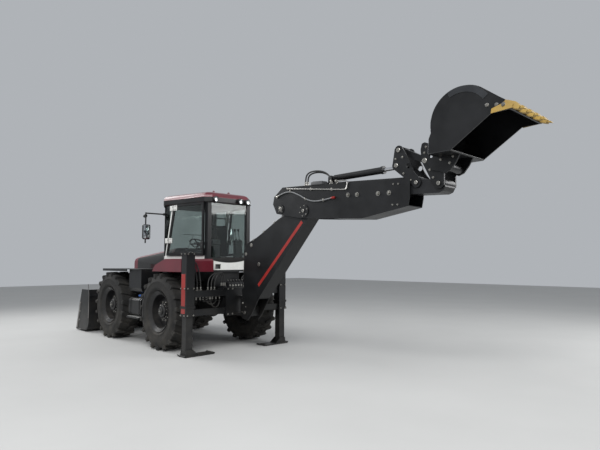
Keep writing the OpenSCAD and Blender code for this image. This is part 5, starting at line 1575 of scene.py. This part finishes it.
def dressHood(size):
    trim = bmesh.new()
    low = size["low"]
    for side in (1, -1):
        x, z = size["latch"]
        addBox(trim, at(x, side * (size["half"] + 0.003), z), size["latchBox"], 0.003, 2)
        y = side * (size["half"] + 0.0005)
        route = [machine(x, y, low) for x in (size["seamStart"], size["seamEnd"])]
        addTube(trim, route, size["sealRadius"], 2, 2, 2)
    for start, end in size["frontSeals"]:
        addTube(trim, [machine(size["front"], start, low), machine(size["front"], end, low)],
                size["sealRadius"], 2, 2, 2)
    finishPiece("hoodTrim", trim, "sealRubber", "hood")
    mesh = bmesh.new()
    width, wire = 2 * size["meshHalf"], size["wire"]
    count = int(width / size["meshStep"])
    for i in range(count + 1):
        y = -size["meshHalf"] + width * i / count
        addBox(mesh, at(size["meshX"], y, size["meshMiddle"]), (wire, wire, size["meshHeight"]), 0.0, 1)
    for i in range(size["meshRows"]):
        addBox(mesh, at(size["meshX"], 0, size["rowStart"] + size["rowStep"] * i), (wire, width, wire), 0.0, 1)
    finishPiece("grilleMesh", mesh, "zinc", "hood")
    # black side panels; the painted top and the front stay as they are
    for side in (1, -1):
        panel = bmesh.new()
        copySkin(panel, "hood", lambda face: face.normal.y * side > 0.95,
                 ((machine(size["panelEnd"], 0, 0), (1, 0, 0)), (machine(size["panelStart"], 0, 0), (-1, 0, 0)),
                  (machine(0, 0, size["panelLow"]), (0, 0, -1))), 0.0015)
        finishPiece("hoodPanel_" + sideName(side), panel, "black_plastic", "hood")
    catch = bmesh.new()
    addBox(catch, at(*size["catchPlace"]), size["catchBox"], 0.004, 2)
    finishPiece("hoodCatch", catch, "black_plastic", "hood")


dressHood(hoodSize)


# Tanks: filler caps, tread plate on the steps
tankSize = {
    "cap": (0.975, 1.0, 0.9402),
    "capRadius": 0.052,
    "capGrips": 12,
    "treadX": (0.825, 1.34),
    "treadY": (0.81, 1.12),
    "treadTop": 0.534,
    "studRows": 14,
    "studColumns": 8,
    "studStep": (0.036, 0.038),
    "stud": (0.024, 0.006, 0.003),
}


def dressTanks(size):
    radius = size["capRadius"]
    x, y, z = size["cap"]
    for side in (1, -1):
        cap = bmesh.new()
        place = facing(machine(x, side * y, z), (0, 0, 1))
        addCap(cap, place, [(0, 0), (radius, 0), (radius, 0.026), (radius - 0.006, 0.032), (0, 0.034)], 36)
        for i in range(size["capGrips"]):
            turn = Matrix.Rotation(2 * math.pi * i / size["capGrips"], 4, "Z")
            addBox(cap, place @ turn @ offset(radius, 0, 0.014), (0.007, 0.009, 0.022), 0.002, 1)
        finish = "bluePlastic" if side > 0 else "black_plastic"
        finishPiece("fillerCap_" + sideName(side), cap, finish, "chassis")
    tread = bmesh.new()
    (start, end), (inner, outer), (stepX, stepY) = size["treadX"], size["treadY"], size["studStep"]
    top = size["treadTop"]
    for side in (1, -1):
        low, high = sorted((side * inner, side * outer))
        addBlock(tread, (start, low, top - 0.0039), (end, high, top), 0.001, 1)
        for i in range(size["studRows"]):
            for j in range(size["studColumns"]):
                turn = Matrix.Rotation(math.radians(45 if (i + j) % 2 else -45), 4, "Z")
                place = at(start + 0.025 + i * stepX, side * (inner + 0.02 + j * stepY), top + 0.001)
                addBox(tread, place @ turn, size["stud"], 0.0, 1)
    finishPiece("stepTread", tread, "stepPlate", "chassis")


dressTanks(tankSize)
print("front and tanks dressed")


# Floor, lamps and sky
stageSize = {
    "floorSide": 60.0,
    "floorColor": (0.5, 0.5, 0.49),
    "floorShade": 0.95,
    "skyColor": (0.86, 0.9, 0.95, 1),
    "skyStrength": 0.5,
    # name, place, aim, power and side
    "lamps": (("keyLamp", (-8.0, 9.5, 10.5), (-1.0, 0.0, 1.2), 1750.0, 6.0),
              ("fillLamp", (-8.0, -7.0, 6.0), (-1.0, 0.0, 1.2), 480.0, 5.0),
              ("frontLamp", (8.0, 3.0, 7.0), (0.0, 0.0, 1.0), 480.0, 5.0)),
}


def makeFloor(size):
    mesh = bpy.data.meshes.new("floor")
    shape = bmesh.new()
    bmesh.ops.create_grid(shape, x_segments=1, y_segments=1, size=size["floorSide"] / 2)
    shape.to_mesh(mesh)
    shape.free()
    floor = bpy.data.objects.new("floor", mesh)
    bpy.context.scene.collection.objects.link(floor)
    material, tree, shader = newMaterial("paleFloor")
    place = tree.nodes.new("ShaderNodeTexCoord").outputs["Object"]
    shade = rampNode(tree, noiseNode(tree, place, 0.6, 4.0), 0.3, 0.7)
    darker = [size["floorShade"] * value for value in size["floorColor"]]
    base = mixColor(tree, shade, (*darker, 1), (*size["floorColor"], 1))
    tree.links.new(base, shader.inputs["Base Color"])
    shader.inputs["Roughness"].default_value = 0.75
    shader.inputs["Specular IOR Level"].default_value = 0.2
    mesh.materials.append(material)


def makeLight(size):
    world = bpy.data.worlds.new("studio")
    bpy.context.scene.world = world
    world.use_nodes = True
    background = world.node_tree.nodes["Background"]
    background.inputs["Color"].default_value = size["skyColor"]
    background.inputs["Strength"].default_value = size["skyStrength"]
    for name, place, aim, power, side in size["lamps"]:
        lamp = bpy.data.lights.new(name, "AREA")
        lamp.energy = power
        lamp.size = side
        holder = bpy.data.objects.new(name, lamp)
        holder.location = place
        holder.rotation_euler = (Vector(aim) - Vector(place)).to_track_quat("-Z", "Y").to_euler()
        bpy.context.scene.collection.objects.link(holder)


# The photograph was taken from behind the left rear wheel, at a standing person's eye height.
cameraSize = {
    "place": (-8.5574, 5.7136, 1.6293),   # metres from the rear axle
    "yaw": -0.7665,
    "pitch": 0.0747,
    "focalPixels": 495.9,
    "imageWidth": 600,
    "sensor": 36.0,
}


def makeCamera(size):
    lens = bpy.data.cameras.new("camera")
    lens.sensor_width = size["sensor"]
    lens.lens = size["focalPixels"] / size["imageWidth"] * size["sensor"]
    lens.clip_end = 200.0
    camera = bpy.data.objects.new("camera", lens)
    camera.location = machine(*size["place"])
    level = math.cos(size["pitch"])
    ahead = Vector((math.cos(size["yaw"]) * level, math.sin(size["yaw"]) * level, math.sin(size["pitch"])))
    camera.rotation_euler = ahead.to_track_quat("-Z", "Y").to_euler()
    bpy.context.scene.collection.objects.link(camera)
    bpy.context.scene.camera = camera


makeFloor(stageSize)
makeLight(stageSize)
makeCamera(cameraSize)
bpy.context.scene.view_settings.view_transform = "Standard"
print("stage set")
